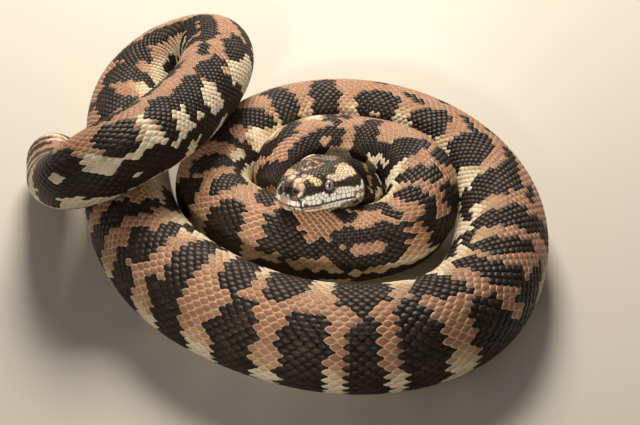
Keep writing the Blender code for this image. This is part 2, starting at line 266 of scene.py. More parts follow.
# ==================================================================== markings
# The jungle form is black-brown over tan: angular blotches that run down to
# the belly, tan to pink between them along the back, cream on the flanks.
# Places are (length along the route in mm, degrees round from the top).
# Each blotch is a round-ended bar: start, start radius, end, end radius.
DARK = [
    # neck and inner loop's far side
    (12, -70, 7, 14, 60, 7), (22, -70, 6, 21, 26, 5.4), (20.5, 30, 5.3, 26.5, 72, 5.3),
    (33, -60, 5, 35, 8, 5), (35.2, 20, 5, 41, 80, 5), (45, -60, 5, 46, 90, 5),
    (32, 92, 5, 40, 100, 6), (52, 0, 5, 54, 70, 4), (66, -60, 3.5, 68, 20, 5),
    (84, -10, 6, 86, 70, 5), (98, -80, 4, 99, -10, 6), (115, 18, 4.5, 116, 80, 5),
    (122, -60, 2.5, 126, 8, 2.5), (126, 10, 2.5, 137, 12, 2.5), (137, 10, 2.5, 142, -60, 2),
    (156, -70, 3, 157, -12, 3.5), (165, -70, 2.5, 165, -14, 2), (160, 0, 2.5, 162, -2, 1.5),
    (124, 74, 3, 142, 52, 5.5), (144, 50, 5.5, 160, 32, 6), (148, 80, 4, 150, 100, 4),
    (184, -12, 4, 184, 22, 9.5), (184, 24, 9.5, 182, 58, 7), (190, 42, 4, 206, 44, 4),
    (222, -8, 4.5, 220, 20, 9.5), (219, 24, 9.5, 214, 42, 6), (224, 42, 6, 224, 74, 5),
    (206, 84, 3.5, 214, 92, 5), (228, -42, 4, 232, -28, 3.5), (226, -60, 5, 222, -100, 5),
    (190, -60, 4, 192, -100, 6),
    # inner loop's right-hand bend
    (243, -24, 2.6, 244, 14, 4.2), (244, 16, 4.2, 246, 40, 2.6), (257, -26, 2.2, 257, 18, 4),
    (248, -48, 4, 246, -80, 5.5), (262, -42, 2.6, 262, -84, 5), (252, -84, 6, 258, -110, 7),
    (271, -12, 2.8, 274, 4, 4), (275, 14, 4, 296, 36, 5), (250, 62, 4, 262, 70, 4),
    (272, -36, 3, 282, -72, 5.5), (283, -76, 4.2, 302, -74, 4.6), (276, -32, 3.6, 308, -34, 4.8),
    (303, -70, 4.4, 318, -50, 4.4), (268, -112, 4, 300, -116, 4),
    # inner loop's near side
    (300, 0, 3.5, 307, 14, 5), (307, -100, 3, 330, -104, 4), (326, -58, 5, 341, -52, 5.5),
    (334, -34, 4, 341, -20, 7.5), (342, -20, 6, 343, -60, 5), (334, -92, 4, 345, -110, 7),
    (355, 10, 4.5, 358, 46, 7), (366, -28, 5.5, 366, -60, 8.5), (366, -64, 8.5, 362, -110, 6.5),
    (393, -42, 6, 396, -70, 9), (398, -74, 8.5, 402, -112, 8), (380, -12, 4.5, 381, 12, 6.5),
    (374, 30, 1.4, 410, 48, 2), (410, 48, 2, 440, 66, 3), (404, -18, 6, 408, 14, 8.5),
    (418, -80, 4, 424, -110, 5),
    # inner loop's left-hand bend
    (433, 0, 4.5, 437, 22, 3.5), (436, 28, 3, 438, 56, 4.5), (436, -6, 3.6, 462, -6, 3.8),
    (452, 14, 3.5, 466, 12, 6), (462, 22, 5, 472, 36, 3), (440, -60, 6, 444, -110, 6),
    (462, -50, 4, 466, -100, 6), (452, 84, 5, 454, 110, 5),
    # outer loop's far side
    (487, -22, 5, 488, 14, 8), (488, 18, 8, 486, 70, 6), (517, -16, 6, 516, 20, 9),
    (516, 24, 9, 515, 74, 7), (546, 20, 7, 560, 20, 7), (546, 36, 6.5, 562, 36, 6),
    (553, 44, 6, 552, 78, 6), (568, -8, 2, 578, -6, 1.8), (593, 4, 4, 588, 26, 8),
    (598, 10, 5, 602, 30, 6), (590, 40, 7.5, 600, 76, 7.5), (606, -20, 1.6, 620, -12, 2.4),
    (630, -4, 7, 628, 22, 8), (634, 0, 7, 642, 22, 7.6), (636, 38, 7.5, 640, 78, 7),
    (640, -38, 2.6, 660, -20, 3.6), (548, -30, 1.6, 552, -60, 3.5), (586, -34, 1.6, 590, -66, 3.5),
    (620, -44, 2, 632, -76, 4.5), (484, -70, 5, 487, -112, 7), (516, -66, 4, 514, -114, 7),
    (550, -68, 4, 554, -116, 8), (590, -70, 4.5, 592, -116, 8), (632, -80, 5, 634, -118, 7),
    # outer loop's right side
    (664, -12, 6, 674, 8, 9), (666, 6, 5, 669, 28, 5.5), (672, -16, 5.5, 676, 8, 8.5),
    (678, 24, 8, 684, 46, 6), (672, 58, 4, 700, 50, 3.5), (676, -42, 2.4, 684, -38, 2.2),
    (664, -70, 3, 680, -90, 5), (696, -20, 4, 706, -26, 6.5), (704, -12, 7.6, 711, 26, 5.4),
    (702, -46, 5, 700, -78, 5), (722, -36, 3, 730, -12, 6.2), (731, -8, 6.2, 737, 18, 3.2),
    (721, 38, 3.6, 732, 34, 2), (728, -66, 3.6, 744, -70, 9), (744, -74, 9, 752, -100, 8),
    (744, -44, 4, 752, -20, 6.5), (751, -16, 6.4, 755, 22, 5), (704, -98, 5, 716, -116, 6),
    (742, 52, 4, 720, 66, 5),
    # outer loop's near side
    (770, -38, 6.5, 770, -70, 8.5), (769, -76, 8.5, 768, -118, 9), (776, -6, 5, 792, 10, 6.5),
    (780, 12, 6, 788, 50, 8), (804, -12, 6, 801, -44, 9.4), (801, -48, 9, 799, -122, 8),
    (826, -34, 5.6, 826, -70, 6.4), (826, -74, 6.4, 824, -124, 8.5), (826, -8, 5.4, 826, 14, 13.6),
    (826, 18, 15.4, 827, 60, 14), (852, -34, 8, 852, -60, 10), (852, -64, 9.5, 853, -124, 9.5),
    (869, 4, 8, 869, 22, 12.2), (869, 26, 12.6, 870, 60, 11), (884, -36, 9, 886, -64, 11),
    (884, -68, 9, 884, -124, 9), (896, -2, 8, 898, 20, 10), (899, 24, 9, 902, 60, 8),
    # outer loop's left side, in under the last length
    (920, -76, 7, 917, -118, 8), (921, -62, 7, 930, -52, 6), (922, -40, 5.5, 925, -8, 7.5),
    (925, -6, 8, 928, 40, 7), (952, -74, 8, 952, -116, 10), (958, -46, 5, 950, -26, 6),
    (952, -24, 7, 962, -20, 5), (951, -6, 6.4, 954, 18, 4.6), (952, 34, 4, 956, 70, 6),
    (984, -74, 9, 984, -112, 9), (982, -58, 4, 984, -36, 5.5), (986, -34, 8, 983, -14, 7),
    (978, 6, 4, 982, 20, 4), (978, 44, 4, 1000, 56, 6), (1008, -70, 5, 1012, -30, 8),
    (1012, -22, 8, 1022, 20, 7), (1040, -90, 6, 1042, -30, 9), (1046, -20, 8, 1050, 40, 7),
    (1068, -70, 5, 1070, -34, 7), (1070, 30, 6, 1074, 70, 6),
    # outer loop's last stretch and the far bend
    (1086, -24, 7, 1100, -30, 7.5), (1086, -8, 6, 1089, 8, 5), (1098, -60, 4, 1100, -100, 7),
    (1117, -18, 8, 1120, 10, 7.6), (1124, -14, 6, 1134, -4, 4), (1122, 14, 6, 1116, 40, 3.5),
    (1145, -22, 9, 1146, -4, 10), (1124, 70, 6, 1126, 100, 6), (1136, -60, 3, 1134, -100, 6),
    (1160, -6, 5, 1176, 10, 6.5), (1150, 54, 2.4, 1176, 62, 3.4), (1176, 8, 5.5, 1200, 26, 5),
    (1166, -40, 3, 1170, -90, 7), (1196, 0, 3.5, 1226, 16, 5.5), (1200, 30, 4, 1218, 46, 4),
    (1196, -50, 5, 1200, -100, 8), (1212, -40, 3, 1226, -60, 5), (1184, 84, 5, 1190, 110, 6),
    (1224, 14, 5, 1244, 14, 5.5), (1208, 42, 2.6, 1208, 100, 3.6), (1225, 30, 4, 1224, 100, 5),
    (1240, 20, 4, 1241, 60, 4.5),
    # the length that lies across the coil
    (1238, -38, 4, 1250, -32, 6.5), (1242, -50, 5, 1250, -36, 6), (1252, -38, 6, 1262, -32, 3.5),
    (1238, -62, 5, 1240, -104, 6), (1258, 14, 3, 1270, 6, 2.5), (1274, -20, 5, 1290, -28, 6),
    (1280, -8, 4, 1288, -12, 4), (1284, -48, 5, 1292, -56, 4.6), (1276, -80, 3, 1292, -76, 3.6),
    (1272, -104, 4, 1290, -112, 7), (1304, -10, 5, 1316, -28, 6), (1314, -12, 4, 1328, -18, 4),
    (1320, -36, 4.5, 1328, -48, 4), (1316, -62, 4, 1326, -72, 4), (1308, -96, 5, 1320, -112, 7),
    (1332, -16, 4, 1348, -15, 5.4), (1346, -24, 5.4, 1348, -50, 4.2),
    (1350, -70, 3.4, 1366, -74, 3.4), (1336, -4, 2.6, 1342, 2, 3), (1368, -36, 5, 1368, -12, 7),
    (1360, -92, 4, 1346, -112, 7), (1384, -96, 4, 1376, -110, 5), (1388, -56, 5, 1390, -24, 5.5),
    (1392, -70, 5, 1398, -40, 6), (1280, 44, 4, 1300, 40, 3), (1312, 44, 3.5, 1330, 36, 3),
    (1344, 36, 3.5, 1372, 34, 4), (1296, 66, 5, 1300, 100, 6), (1340, 62, 5, 1344, 100, 6),
    (1378, 56, 5, 1384, 96, 6), (1284, -86, 2.6, 1336, -80, 3), (1336, -80, 3.4, 1352, -100, 4),
    (1362, -76, 3, 1384, -80, 5.6), (1384, -80, 5.6, 1402, -74, 5), (1402, -84, 5, 1408, -112, 6.5),
    (1400, -40, 5, 1406, -16, 5), (1356, -108, 4, 1376, -112, 6),
    # tail
    (1408, -60, 6, 1412, 40, 6), (1430, -70, 5, 1432, 10, 6), (1430, 40, 4, 1434, 90, 4),
    (1450, -70, 5, 1453, 60, 5), (1468, -90, 4.5, 1469, -10, 3), (1470, 40, 3, 1471, 110, 3),
    (1478, -60, 2, 1480, 0, 1.4), (1496, -100, 4.5, 1497, 20, 4), (1510, -20, 4.5, 1511, 100, 4.5),
    (1526, -100, 4, 1527, 60, 4), (1542, -60, 4, 1543, 100, 4),
]
# pale windows inside the blotches
WINDOW = [
    (132, -22, 2.8, 134, -48, 3), (150, 48, 1.6, 154, 42, 1.8), (283, -56, 2.4, 296, -60, 2.8),
    (441, 14, 2.2, 448, 15, 2.4), (550, 40, 1.3, 555, 44, 1.4), (1290, -66, 1.4, 1292, -70, 1),
    (1320, -62, 1.4, 1324, -60, 1), (1350, -74, 1.4, 1352, -72, 1.2), (1376, -70, 1, 1380, -72, 1),
    (1393, -62, 2.2, 1395, -54, 2.2), (34, 4, 1.3, 35.4, 15, 1.3), (37.5, 42, 2.2, 38.6, 58, 2.4),
]
# cream patches where the ground would still be tan
CREAM = [
    (32, 78, 2, 33, 90, 2.4), (34, 4, 1.6, 35.4, 15, 1.6), (37.5, 44, 1.6, 38.6, 56, 1.6),
    (196, 62, 4.5, 210, 60, 5), (232, 44, 4.5, 226, 88, 5), (132, -20, 3, 134, -60, 4),
    (150, -14, 3, 149, -60, 4), (412, 38, 4.5, 426, 44, 4.5), (452, 40, 4.5, 460, 34, 4),
    (1268, -76, 6.5, 1266, -48, 6), (1303, -66, 5.5, 1302, -42, 6), (1336, -76, 5, 1334, -44, 7),
    (1357, -52, 2.4, 1357, -10, 2.2), (1360, -60, 2.6, 1376, -62, 3),
    (1378, -58, 2.8, 1380, -36, 2.4), (1366, -90, 3, 1368, -98, 3), (1476, -2, 1.6, 1478, 26, 1.8),
    (1486, -10, 2.6, 1488, 30, 3),
]
STRAW_FROM, STRAW_OVER = 30.0, 32.0     # degrees off the back's middle line where tan
CREAM_FROM, CREAM_OVER = 47.0, 24.0     # turns to straw, and straw to cream
FLANK_SHADE_AT, FLANK_SHADE_REACH = 365.0, 90.0       # inner loop's near flank: its own duller straw and painted shade, mm, past these degrees, by this share
FLANK_SHADE_FROM, FLANK_SHADE_OVER, FLANK_SHADE_BY = 45.0, 30.0, 0.55    # past these degrees, by this share
NAPE_AT, NAPE_REACH = 26.0, 16.0        # olive-tan behind the head, partly painted shade, mm
SPREAD = 1.0            # the blotches' edges stand this far outside their bars, mm
CREAM_SOFT = 1.6        # a cream patch's edge fades over this, mm
BROWN_IN, BROWN_OVER = 1.5, 5.0     # blotches clear to brown this far inside, mm
# how far the back's middle line leans over from the top, in degrees
LEAN = [
    (0, 0), (60, 10), (120, 20), (180, -8), (250, -22), (320, -28), (400, -12), (450, -6),
    (520, -14), (600, -26), (700, -30), (860, -32), (1000, -30), (1110, -28), (1180, -14),
    (1240, 6), (1300, 16), (1380, 14), (1440, 0), (1553, 0),
]


def wander(x, y, size, seed):
    """Smooth noise from -1 to 1: a mean of seven sine waves run in different
    directions, about size long."""
    total = np.zeros(np.broadcast(x, y).shape)
    for k in range(7):
        way = seed + 2.4 * k
        pace = (0.75 + 0.13 * k) * 2.0 * np.pi / size
        total = total + np.sin((x * np.cos(way) + y * np.sin(way)) * pace + 1.7 * way * way)
    return total / 3.2


def into_bars(bars, s_mm, y_mm, unit_mm):
    """How deep a place lies inside the nearest of the bars, in mm."""
    deepest = np.full(s_mm.shape, -99.0)
    for s0, a0, r0, s1, a1, r1 in bars:
        run = np.stack([np.full(s_mm.shape, float(s1 - s0)), (a1 - a0) * unit_mm])
        off = np.stack([s_mm - s0, y_mm - a0 * unit_mm])
        long_squared = np.maximum(np.sum(run * run, axis=0), 1e-9)
        t = np.clip(np.sum(run * off, axis=0) / long_squared, 0.0, 1.0)
        far = np.hypot(off[0] - t * run[0], off[1] - t * run[1])
        deepest = np.maximum(deepest, r0 + (r1 - r0) * t - far)
    return deepest


def turn_of_back(s):
    """Lean of the back's middle line, in radians, smooth between the given ones."""
    table = np.array(LEAN, dtype=float)
    return np.radians(natural_spline(table[:, 0], table[:, 1:])(s / MM)[..., 0])


# Each colour is the middle of a scale, then its rim.
TAN = np.array([[0.335, 0.162, 0.085], [0.68, 0.44, 0.28]])
PINK = np.array([[0.37, 0.190, 0.112], [0.70, 0.47, 0.32]])
STRAW = np.array([[0.50, 0.335, 0.180], [0.75, 0.58, 0.375]])
WHITE = np.array([[0.80, 0.67, 0.47], [0.86, 0.76, 0.57]])
BLACK = np.array([[0.020, 0.0125, 0.0085], [0.007, 0.0045, 0.003]])
BROWN = np.array([[0.052, 0.029, 0.018], [0.016, 0.009, 0.006]])
# the nape's olive-tan, darkened partly as painted shade behind the head
NAPE_AND_SHADE = np.array([[0.25, 0.175, 0.090], [0.40, 0.30, 0.175]])


def body_marks(s, turn):
    """Middle and rim colour of a scale of the back and flanks, and 1 where it is
    dark: ground colour by the angle from the back's middle line, then cream
    patches, blotches and the windows in them.  A scale is all one or the other."""
    s_mm = s / MM
    girth = along(s, even[:, 3])[..., 0] / MM
    turn = (turn + np.pi) % (2.0 * np.pi) - np.pi
    degrees = np.degrees(turn)
    unit_mm = np.pi / 180.0 * 0.5 * girth
    y_mm = degrees * unit_mm
    off_back = np.abs(np.degrees((turn - turn_of_back(s) + np.pi) % (2.0 * np.pi) - np.pi))
    off_back = off_back + 7.0 * wander(s_mm, y_mm, 26.0, 4.0)
    rough = wander(s_mm, y_mm, 9.0, 1.0) + 0.6 * wander(s_mm, y_mm, 4.4, 2.0)

    def mixed(under, over, mask):
        return under + (over - under) * mask[..., None, None]

    warm = 0.5 + 0.5 * wander(s_mm, y_mm, 40.0, 7.0)
    flank = mixed(STRAW, WHITE, smooth_step((off_back - CREAM_FROM) / CREAM_OVER))
    # painted shade on the inner loop's near lower flank, over its own duller straw
    flank_shade = FLANK_SHADE_BY * hump(s_mm - FLANK_SHADE_AT, FLANK_SHADE_REACH)
    flank_shade = flank_shade * smooth_step((-degrees - FLANK_SHADE_FROM) / FLANK_SHADE_OVER)
    flank = flank * (1.0 - flank_shade)[..., None, None]
    far_down = smooth_step((off_back - STRAW_FROM) / STRAW_OVER)
    ground = mixed(mixed(TAN, PINK, warm), flank, far_down)
    # the nape: olive-tan, darkened partly as painted shade behind the head
    ground = mixed(ground, NAPE_AND_SHADE, hump(s_mm - NAPE_AT, NAPE_REACH))
    cream = into_bars(CREAM, s_mm, y_mm, unit_mm) + rough
    ground = mixed(ground, WHITE, smooth_step(0.5 + cream / CREAM_SOFT))
    inside = into_bars(DARK, s_mm, y_mm, unit_mm) + rough + SPREAD
    inside = np.minimum(inside, -into_bars(WINDOW, s_mm, y_mm, unit_mm) - 0.4 * rough)
    dark = np.where(inside > 0.0, 1.0, 0.0)
    cloudy = 0.5 + 0.5 * wander(s_mm, y_mm, 15.0, 5.0)
    cloudy = cloudy * smooth_step((inside - BROWN_IN) / BROWN_OVER)
    both = mixed(ground, mixed(BLACK, BROWN, cloudy), dark)
    return both[..., 0, :], both[..., 1, :], dark


# =============================================================== head markings
# The crown is olive-brown with rusty and pinkish seams.  A black stripe runs
# through the eye with a cream blotch above it, the lips are ivory with black
# seams, and the nostrils stand in a black rosette.  Places on the sides and top
# are (back from the lip's front in mm, degrees round), on the front (left, up)
# in mm, again as round-ended bars.
OLIVE = np.array([0.105, 0.078, 0.043])
UMBER = np.array([0.042, 0.027, 0.016])
SOOT = np.array([0.013, 0.009, 0.009])
RUST = np.array([0.16, 0.075, 0.045])
MOSS = np.array([0.085, 0.085, 0.055])
ROSE = np.array([0.42, 0.27, 0.205])
PEACH = np.array([0.62, 0.41, 0.265])
BUTTER = np.array([0.78, 0.66, 0.34])
CREAMY = np.array([0.82, 0.68, 0.49])
IVORY = np.array([0.90, 0.84, 0.72])
HORN = np.array([0.30, 0.225, 0.155])
MARK_SOFT, MARK_ROUGH = 0.5, 0.25       # a marking's edge fades and wanders by this, mm
FRONT_FROM, FRONT_OVER = 2.6, 1.6       # the front's markings end this far back, mm
PALE_RIM, DARK_RIM, PALE_FROM = 0.80, 0.50, 0.3     # rims of pale and of dark plates
DARK_BELOW = 0.12       # the mean colour under which a plate counts as dark
# top of the ivory band on the upper lip: back in mm, degrees
LIP_TOP = [(-4.5, 50), (0, 50), (3, 55), (6, 56), (10, 59), (15, 61), (18.5, 65), (20, 71),
           (21.5, 77), (23.5, 71), (26, 65), (30, 67), (37, 73), (42, 70), (46, 67), (60, 67)]
CROWN_MARKS = [
    (MOSS, [(14, -30, 2, 24, -22, 2.6), (22, 30, 1, 26, 26, 1.4), (29, 20, 1.6, 39, 8, 2)]),
    (HORN, [(34, -34, 2.4, 40, -6, 3.4), (42, -26, 2, 46, -8, 2.2), (17, -40, 1, 30, -44, 1.2)]),
    (PEACH, [(5.5, -9, 1.1, 11, -16, 2), (10.5, -18, 2, 9, -30, 1.6), (4, 24, 2.2, 8, 11, 2.4),
            (5, 34, 1.3, 4, 42, 1), (9, 12, 1.8, 13.5, 20, 1.6), (17, -3, 1.2, 23, 1, 0.9),
            (35, 27, 1.3, 43, 27, 1.8), (30, -36, 0.9, 29, -4, 1), (12, -26, 1.4, 13, -34, 1.4)]),
    (BUTTER, [(12.2, 24, 1.3, 13, 34, 1.9), (13, 34, 2, 15.2, 43, 1.9)]),
    (IVORY, [(2.2, -31, 1.2, 3.6, -24, 1), (3.2, 19, 0.5, 3.4, 22, 0.5)]),
    (ROSE, [(5, -19, 1.3, 5.4, -6, 1.2), (22, -12, 0.8, 29, -22, 1), (23, 6, 0.6, 31, 5, 0.7),
            (14, -8, 0.6, 18, -14, 0.8), (14, -42, 0.7, 24, -44, 0.7)]),
    (RUST, [(20, 12, 0.6, 27, 22, 0.9), (25, -30, 0.8, 31, -15, 0.8), (20, 5, 0.5, 30, -2, 0.6),
            (6.4, -18, 0.7, 7.4, -14, 0.6), (4, 1, 0.5, 8.5, 6, 0.7), (11, 3, 0.6, 14, 8, 0.5)]),
]
# each with how much lower it stands on the right side, in degrees
SIDE_MARKS = [
    (CREAMY, 15.0, [(22.5, 39, 1.2, 26, 43, 1.8), (26, 43, 1.9, 30, 47.5, 2.5),
            (30, 47, 2.6, 35, 43, 3.7), (35, 43, 3.7, 39, 41, 4.3), (39, 41, 4.3, 44.5, 46, 3),
            (3.8, 42, 1.1, 3.4, 47, 1)]),
    (UMBER, 7.0, [(8.7, 30, 1.3, 8, 48, 2.1), (8, 48, 2.3, 14, 55, 1.6),
            (14, 55, 1.7, 19, 59, 1.6), (19.6, 34, 1.3, 20.4, 44, 1.5), (24, 54, 1.2, 30, 61, 1.5),
            (30, 61, 1.6, 37, 65, 2.1), (37, 65, 2.1, 47, 62, 2.3), (21, 62, 1.6, 21.8, 72, 0.9),
            (2.6, 62, 1, 5, 50, 1.2), (46, 48, 2.6, 52, 20, 4), (4.6, 57, 1, 8, 52, 1.2)]),
]
LIP_MARKS = [
    (SOOT, [(2.6, 66, 0.5, 3.6, 88, 0.4), (3.7, 92, 0.4, 4.2, 99, 0.5),
            (5.4, 80, 0.45, 6, 95, 0.6), (7.6, 84, 0.4, 8, 95, 0.6),
            (10.2, 84, 0.4, 10.5, 93, 0.6), (13.4, 87, 0.3, 13.6, 93, 0.4),
            (17.4, 85, 0.4, 18, 92, 0.5), (25.4, 74, 0.4, 25.6, 78, 0.4),
            (28.6, 77, 0.4, 29, 82, 0.4), (21.6, 76, 0.5, 22, 80, 0.4)]),
    (ROSE, [(6, 104, 1.6, 15, 103, 2), (0, 120, 3, 5, 125, 3)]),
    (HORN, [(33, 104, 2.6, 46, 100, 4), (37, 84, 1, 45, 82, 1.6), (24, 122, 1.6, 38, 124, 2.4)]),
    (UMBER, [(42, 86, 0.6, 46, 80, 1), (35, 96, 0.5, 44, 106, 0.8), (32, 112, 0.6, 36, 118, 0.8)]),
]
FRONT_MARKS = [
    (ROSE, [(0, 0.8, 3.6, 0, 4.6, 1)]),
    (IVORY, [(-7.6, 3, 1, -7, 8, 0.9)]),
    (RUST, [(4.2, 6, 1, 7.8, 5, 1.5)]),
    (SOOT, [(-1.2, 9, 1.6, 4.4, 9.2, 1.9), (4.4, 9.2, 1.8, 5.8, 9.4, 1.3),
            (-5.2, 8.4, 1, -4.2, 7.4, 1.1), (-1.4, 6.8, 0.8, 0.6, 7.4, 1)]),
    (IVORY, [(1.2, 6.2, 0.5, 5.2, 0.6, 1), (-1.2, 6.2, 0.5, -5.2, 0.6, 1)]),
]


def head_marks(q, turn):
    """Middle and rim colour of the head's plates: each list of bars is laid over
    the one before, with a slightly rough edge."""
    q_mm = q / MM
    degrees = np.degrees((turn + np.pi) % (2.0 * np.pi) - np.pi)
    fold = np.abs(degrees)
    width, height, _ = np.moveaxis(profile_at(np.clip(q, 0.0, PROFILE_END)), -1, 0)
    unit_mm = np.pi / 180.0 * 0.5 * (width + height) / MM
    y_mm = degrees * unit_mm
    rough = MARK_ROUGH * wander(q_mm, y_mm, 3.1, 3.0)
    local = head_local(np.minimum(q, BLEND_FROM), turn) / MM
    colour = np.broadcast_to(OLIVE, q.shape + (3,))

    def laid(under, over, inside):
        return under + (over - under) * smooth_step(0.5 + inside / MARK_SOFT)[..., None]

    colour = laid(colour, UMBER, MARK_ROUGH * wander(q_mm, y_mm, 5.0, 9.0))
    for over, bars in CROWN_MARKS:
        colour = laid(colour, over, into_bars(bars, q_mm, y_mm, unit_mm) + rough)
    for over, drop, bars in SIDE_MARKS:
        beside = np.where(degrees < 0.0, fold - drop, fold) * unit_mm
        colour = laid(colour, over, into_bars(bars, q_mm, beside, unit_mm) + rough)
    band = np.array(LIP_TOP, dtype=float)
    lip = (fold - np.interp(q_mm, band[:, 0], band[:, 1])) * unit_mm
    colour = laid(colour, IVORY, lip + 0.5 * rough)
    for over, bars in LIP_MARKS:
        colour = laid(colour, over, into_bars(bars, q_mm, fold * unit_mm, unit_mm) + 0.5 * rough)
    facing = 3.0 * smooth_step((local[..., 0] - FRONT_FROM) / FRONT_OVER)
    for over, bars in FRONT_MARKS:
        ahead = into_bars(bars, local[..., 1], local[..., 2], np.ones(q.shape))
        colour = laid(colour, over, ahead - facing)
    bright = colour.mean(axis=-1, keepdims=True)
    rim = colour * np.where(bright > PALE_FROM, PALE_RIM, DARK_RIM)
    return colour, rim, np.where(bright[..., 0] < DARK_BELOW, 1.0, 0.0)


# ==================================================================== the skin
# One thin soft skin covers the whole animal from the snout to the tail tip.
# It lies a scale's depth inside the outside and shows only as fine lines
# between the scales, in the nostrils, along the mouth and round the eyes.
SKIN_DEPTH = 0.011          # under the outside, in girths
EYE_BACK, EYE_SIDE, EYE_UP, EYE_RADIUS = 22.6 * MM, 12.2 * MM, 8.85 * MM, 3.3 * MM
NOSTRIL_BACK, NOSTRIL_SIDE, NOSTRIL_UP = 2.6 * MM, 5.6 * MM, 9.6 * MM
JAW_SET_BACK = 0.9 * MM     # the lower lip stands inside the upper one


def left_and_right(back, side, up):
    """A place of the head and the same on its other side, in the model's axes."""
    return [HEAD_TIP + shift + back * head_back + way * side * head_left + up * head_up
            for way in (1.0, -1.0)]


eye_middles = left_and_right(EYE_BACK, EYE_SIDE, EYE_UP)
nostril_middles = left_and_right(NOSTRIL_BACK, NOSTRIL_SIDE, NOSTRIL_UP)
# which way each eye's socket opens: straight out of the head's side
eye_axes = []
for way in (1.0, -1.0):
    seat = np.array([EYE_BACK]), np.array([way * np.arctan2(EYE_SIDE, EYE_UP)])
    eye_axes.append(outward(*seat)[0])


HEAD_GIRTH = 30.0 * MM
GIRTH_FROM, GIRTH_OVER = 0.030, 0.030   # metres back where it becomes the body's


def girth_at(q):
    """Body girth along the snake, with the head given one of its own."""
    body = along(np.maximum(q - HEAD_TO_BODY, 0.0), even[:, 3])[..., 0]
    return body + (HEAD_GIRTH - body) * (1.0 - smooth_step((q - GIRTH_FROM) / GIRTH_OVER))


JAW_IN_OVER = 0.7 * MM      # the jaw's set-back comes in over this height, loses a
JAW_EASE, JAW_EASE_FROM, JAW_EASE_OVER = 0.8, 0.006, 0.012      # share behind the front
JAW_OUT_FROM, JAW_OUT_OVER = 0.032, 0.010       # and ends at the mouth's corner, in metres
LIP_DIP, LIP_DIP_AT, LIP_DIP_REACH = 0.9 * MM, 18.0 * MM, 10.0 * MM
LIP_GAP = 0.62 * MM         # from the mouth's line to each lip's edge
SOCKET_DEEP, SOCKET_FROM, SOCKET_TO = 1.0 * MM, 2.7 * MM, 5.4 * MM
PREOCULAR = 5.0 * MM        # a shallow hollow runs ahead of the eye
HOLLOW, HOLLOW_REACH = 0.45, 3.4 * MM       # its depth as a share of the socket's
SIDE_FROM = -1.0 * MM       # the socket and hollow are cut from here outward
GROOVE, GROOVE_REACH = 1.6 * MM, 0.5 * MM   # the mouth's groove; it ends over these
GROOVE_OUT = 0.004                          # last metres before the mouth's corner
NOSTRIL_DEEP, NOSTRIL_WIDE = 1.6 * MM, 0.9 * MM


def lip_height(q):
    """The mouth's line: it dips a little under the front half of the head."""
    return -LIP_DIP * hump(q - LIP_DIP_AT, LIP_DIP_REACH)


def over_lip(q, turn):
    """Height over the mouth's line."""
    return head_local(np.minimum(q, BLEND_FROM), turn)[..., 2] - lip_height(q)


def face(q, turn):
    """The surface that the plates lie on, and its outward direction: the outside,
    with the lower jaw set back under the lip, a socket round each eye, and the
    shallow hollow in front of it."""
    point = outside(q, turn)
    normal = outward(q, turn)
    below = smooth_step(-over_lip(q, turn) / JAW_IN_OVER)
    past_front = smooth_step((q - JAW_EASE_FROM) / JAW_EASE_OVER)
    inward = JAW_SET_BACK * below * (1.0 - JAW_EASE * past_front)
    inward = inward * (1.0 - smooth_step((q - JAW_OUT_FROM) / JAW_OUT_OVER))
    for middle, axis in zip(eye_middles, eye_axes):
        off = point - middle
        along_axis = off @ axis
        beside = off - along_axis[..., None] * axis
        off_eye = np.linalg.norm(beside, axis=-1)
        socket = 1.0 - smooth_step((off_eye - SOCKET_FROM) / (SOCKET_TO - SOCKET_FROM))
        ahead = np.linalg.norm(beside + head_back * PREOCULAR, axis=-1)
        hollow = HOLLOW * hump(ahead, HOLLOW_REACH)
        inward = inward + SOCKET_DEEP * np.maximum(socket, hollow) * (along_axis > SIDE_FROM)
    return point - normal * inward[..., None], normal


def sunk(q, turn, depth):
    """The face moved in by depth, with the mouth's groove and the nostrils' pits."""
    point, normal = face(q, turn)
    inward = GROOVE * hump(over_lip(q, turn), GROOVE_REACH)
    inward = inward * (1.0 - smooth_step((q - MOUTH_CORNER + GROOVE_OUT) / GROOVE_OUT))
    for middle in nostril_middles:
        far = np.linalg.norm(point - middle, axis=-1)
        inward = inward + NOSTRIL_DEEP * hump(far, NOSTRIL_WIDE)
    moved = point - normal * (depth + inward)[..., None]
    moved[..., 2] = np.maximum(moved[..., 2], 0.0)
    return moved


def new_piece(name, points, faces, material):
    """A mesh object at the origin from an array of points and arrays of faces
    that each have one number of corners."""
    mesh = bpy.data.meshes.new(name)
    corners = np.concatenate([f.ravel() for f in faces]).astype(np.int32)
    sizes = np.concatenate([np.full(len(f), f.shape[1]) for f in faces]).astype(np.int32)
    mesh.vertices.add(len(points))
    mesh.vertices.foreach_set("co", np.ascontiguousarray(points, dtype=np.float32).ravel())
    mesh.loops.add(len(corners))
    mesh.loops.foreach_set("vertex_index", corners)
    mesh.polygons.add(len(sizes))
    starts = np.concatenate([[0], np.cumsum(sizes)[:-1]]).astype(np.int32)
    mesh.polygons.foreach_set("loop_start", starts)
    mesh.update(calc_edges=True)
    mesh.validate()
    mesh.polygons.foreach_set("use_smooth", np.ones(len(sizes), dtype=bool))
    mesh.materials.append(material)
    piece = bpy.data.objects.new(name, mesh)
    bpy.context.scene.collection.objects.link(piece)
    return piece


def paint(piece, middle, rim, off):
    """The attributes that the material reads, one value for each vertex: the
    middle's colour, the rim's colour, and how far the vertex is from the middle."""
    for name, colours in (("tint", middle), ("edge", rim)):
        layer = piece.data.color_attributes.new(name, "FLOAT_COLOR", "POINT")
        rgba = np.concatenate([colours, np.ones((len(colours), 1))], axis=1)
        layer.data.foreach_set("color", rgba.astype(np.float32).ravel())
    layer = piece.data.attributes.new("off_middle", "FLOAT", "POINT")
    layer.data.foreach_set("value", np.asarray(off, dtype=np.float32))


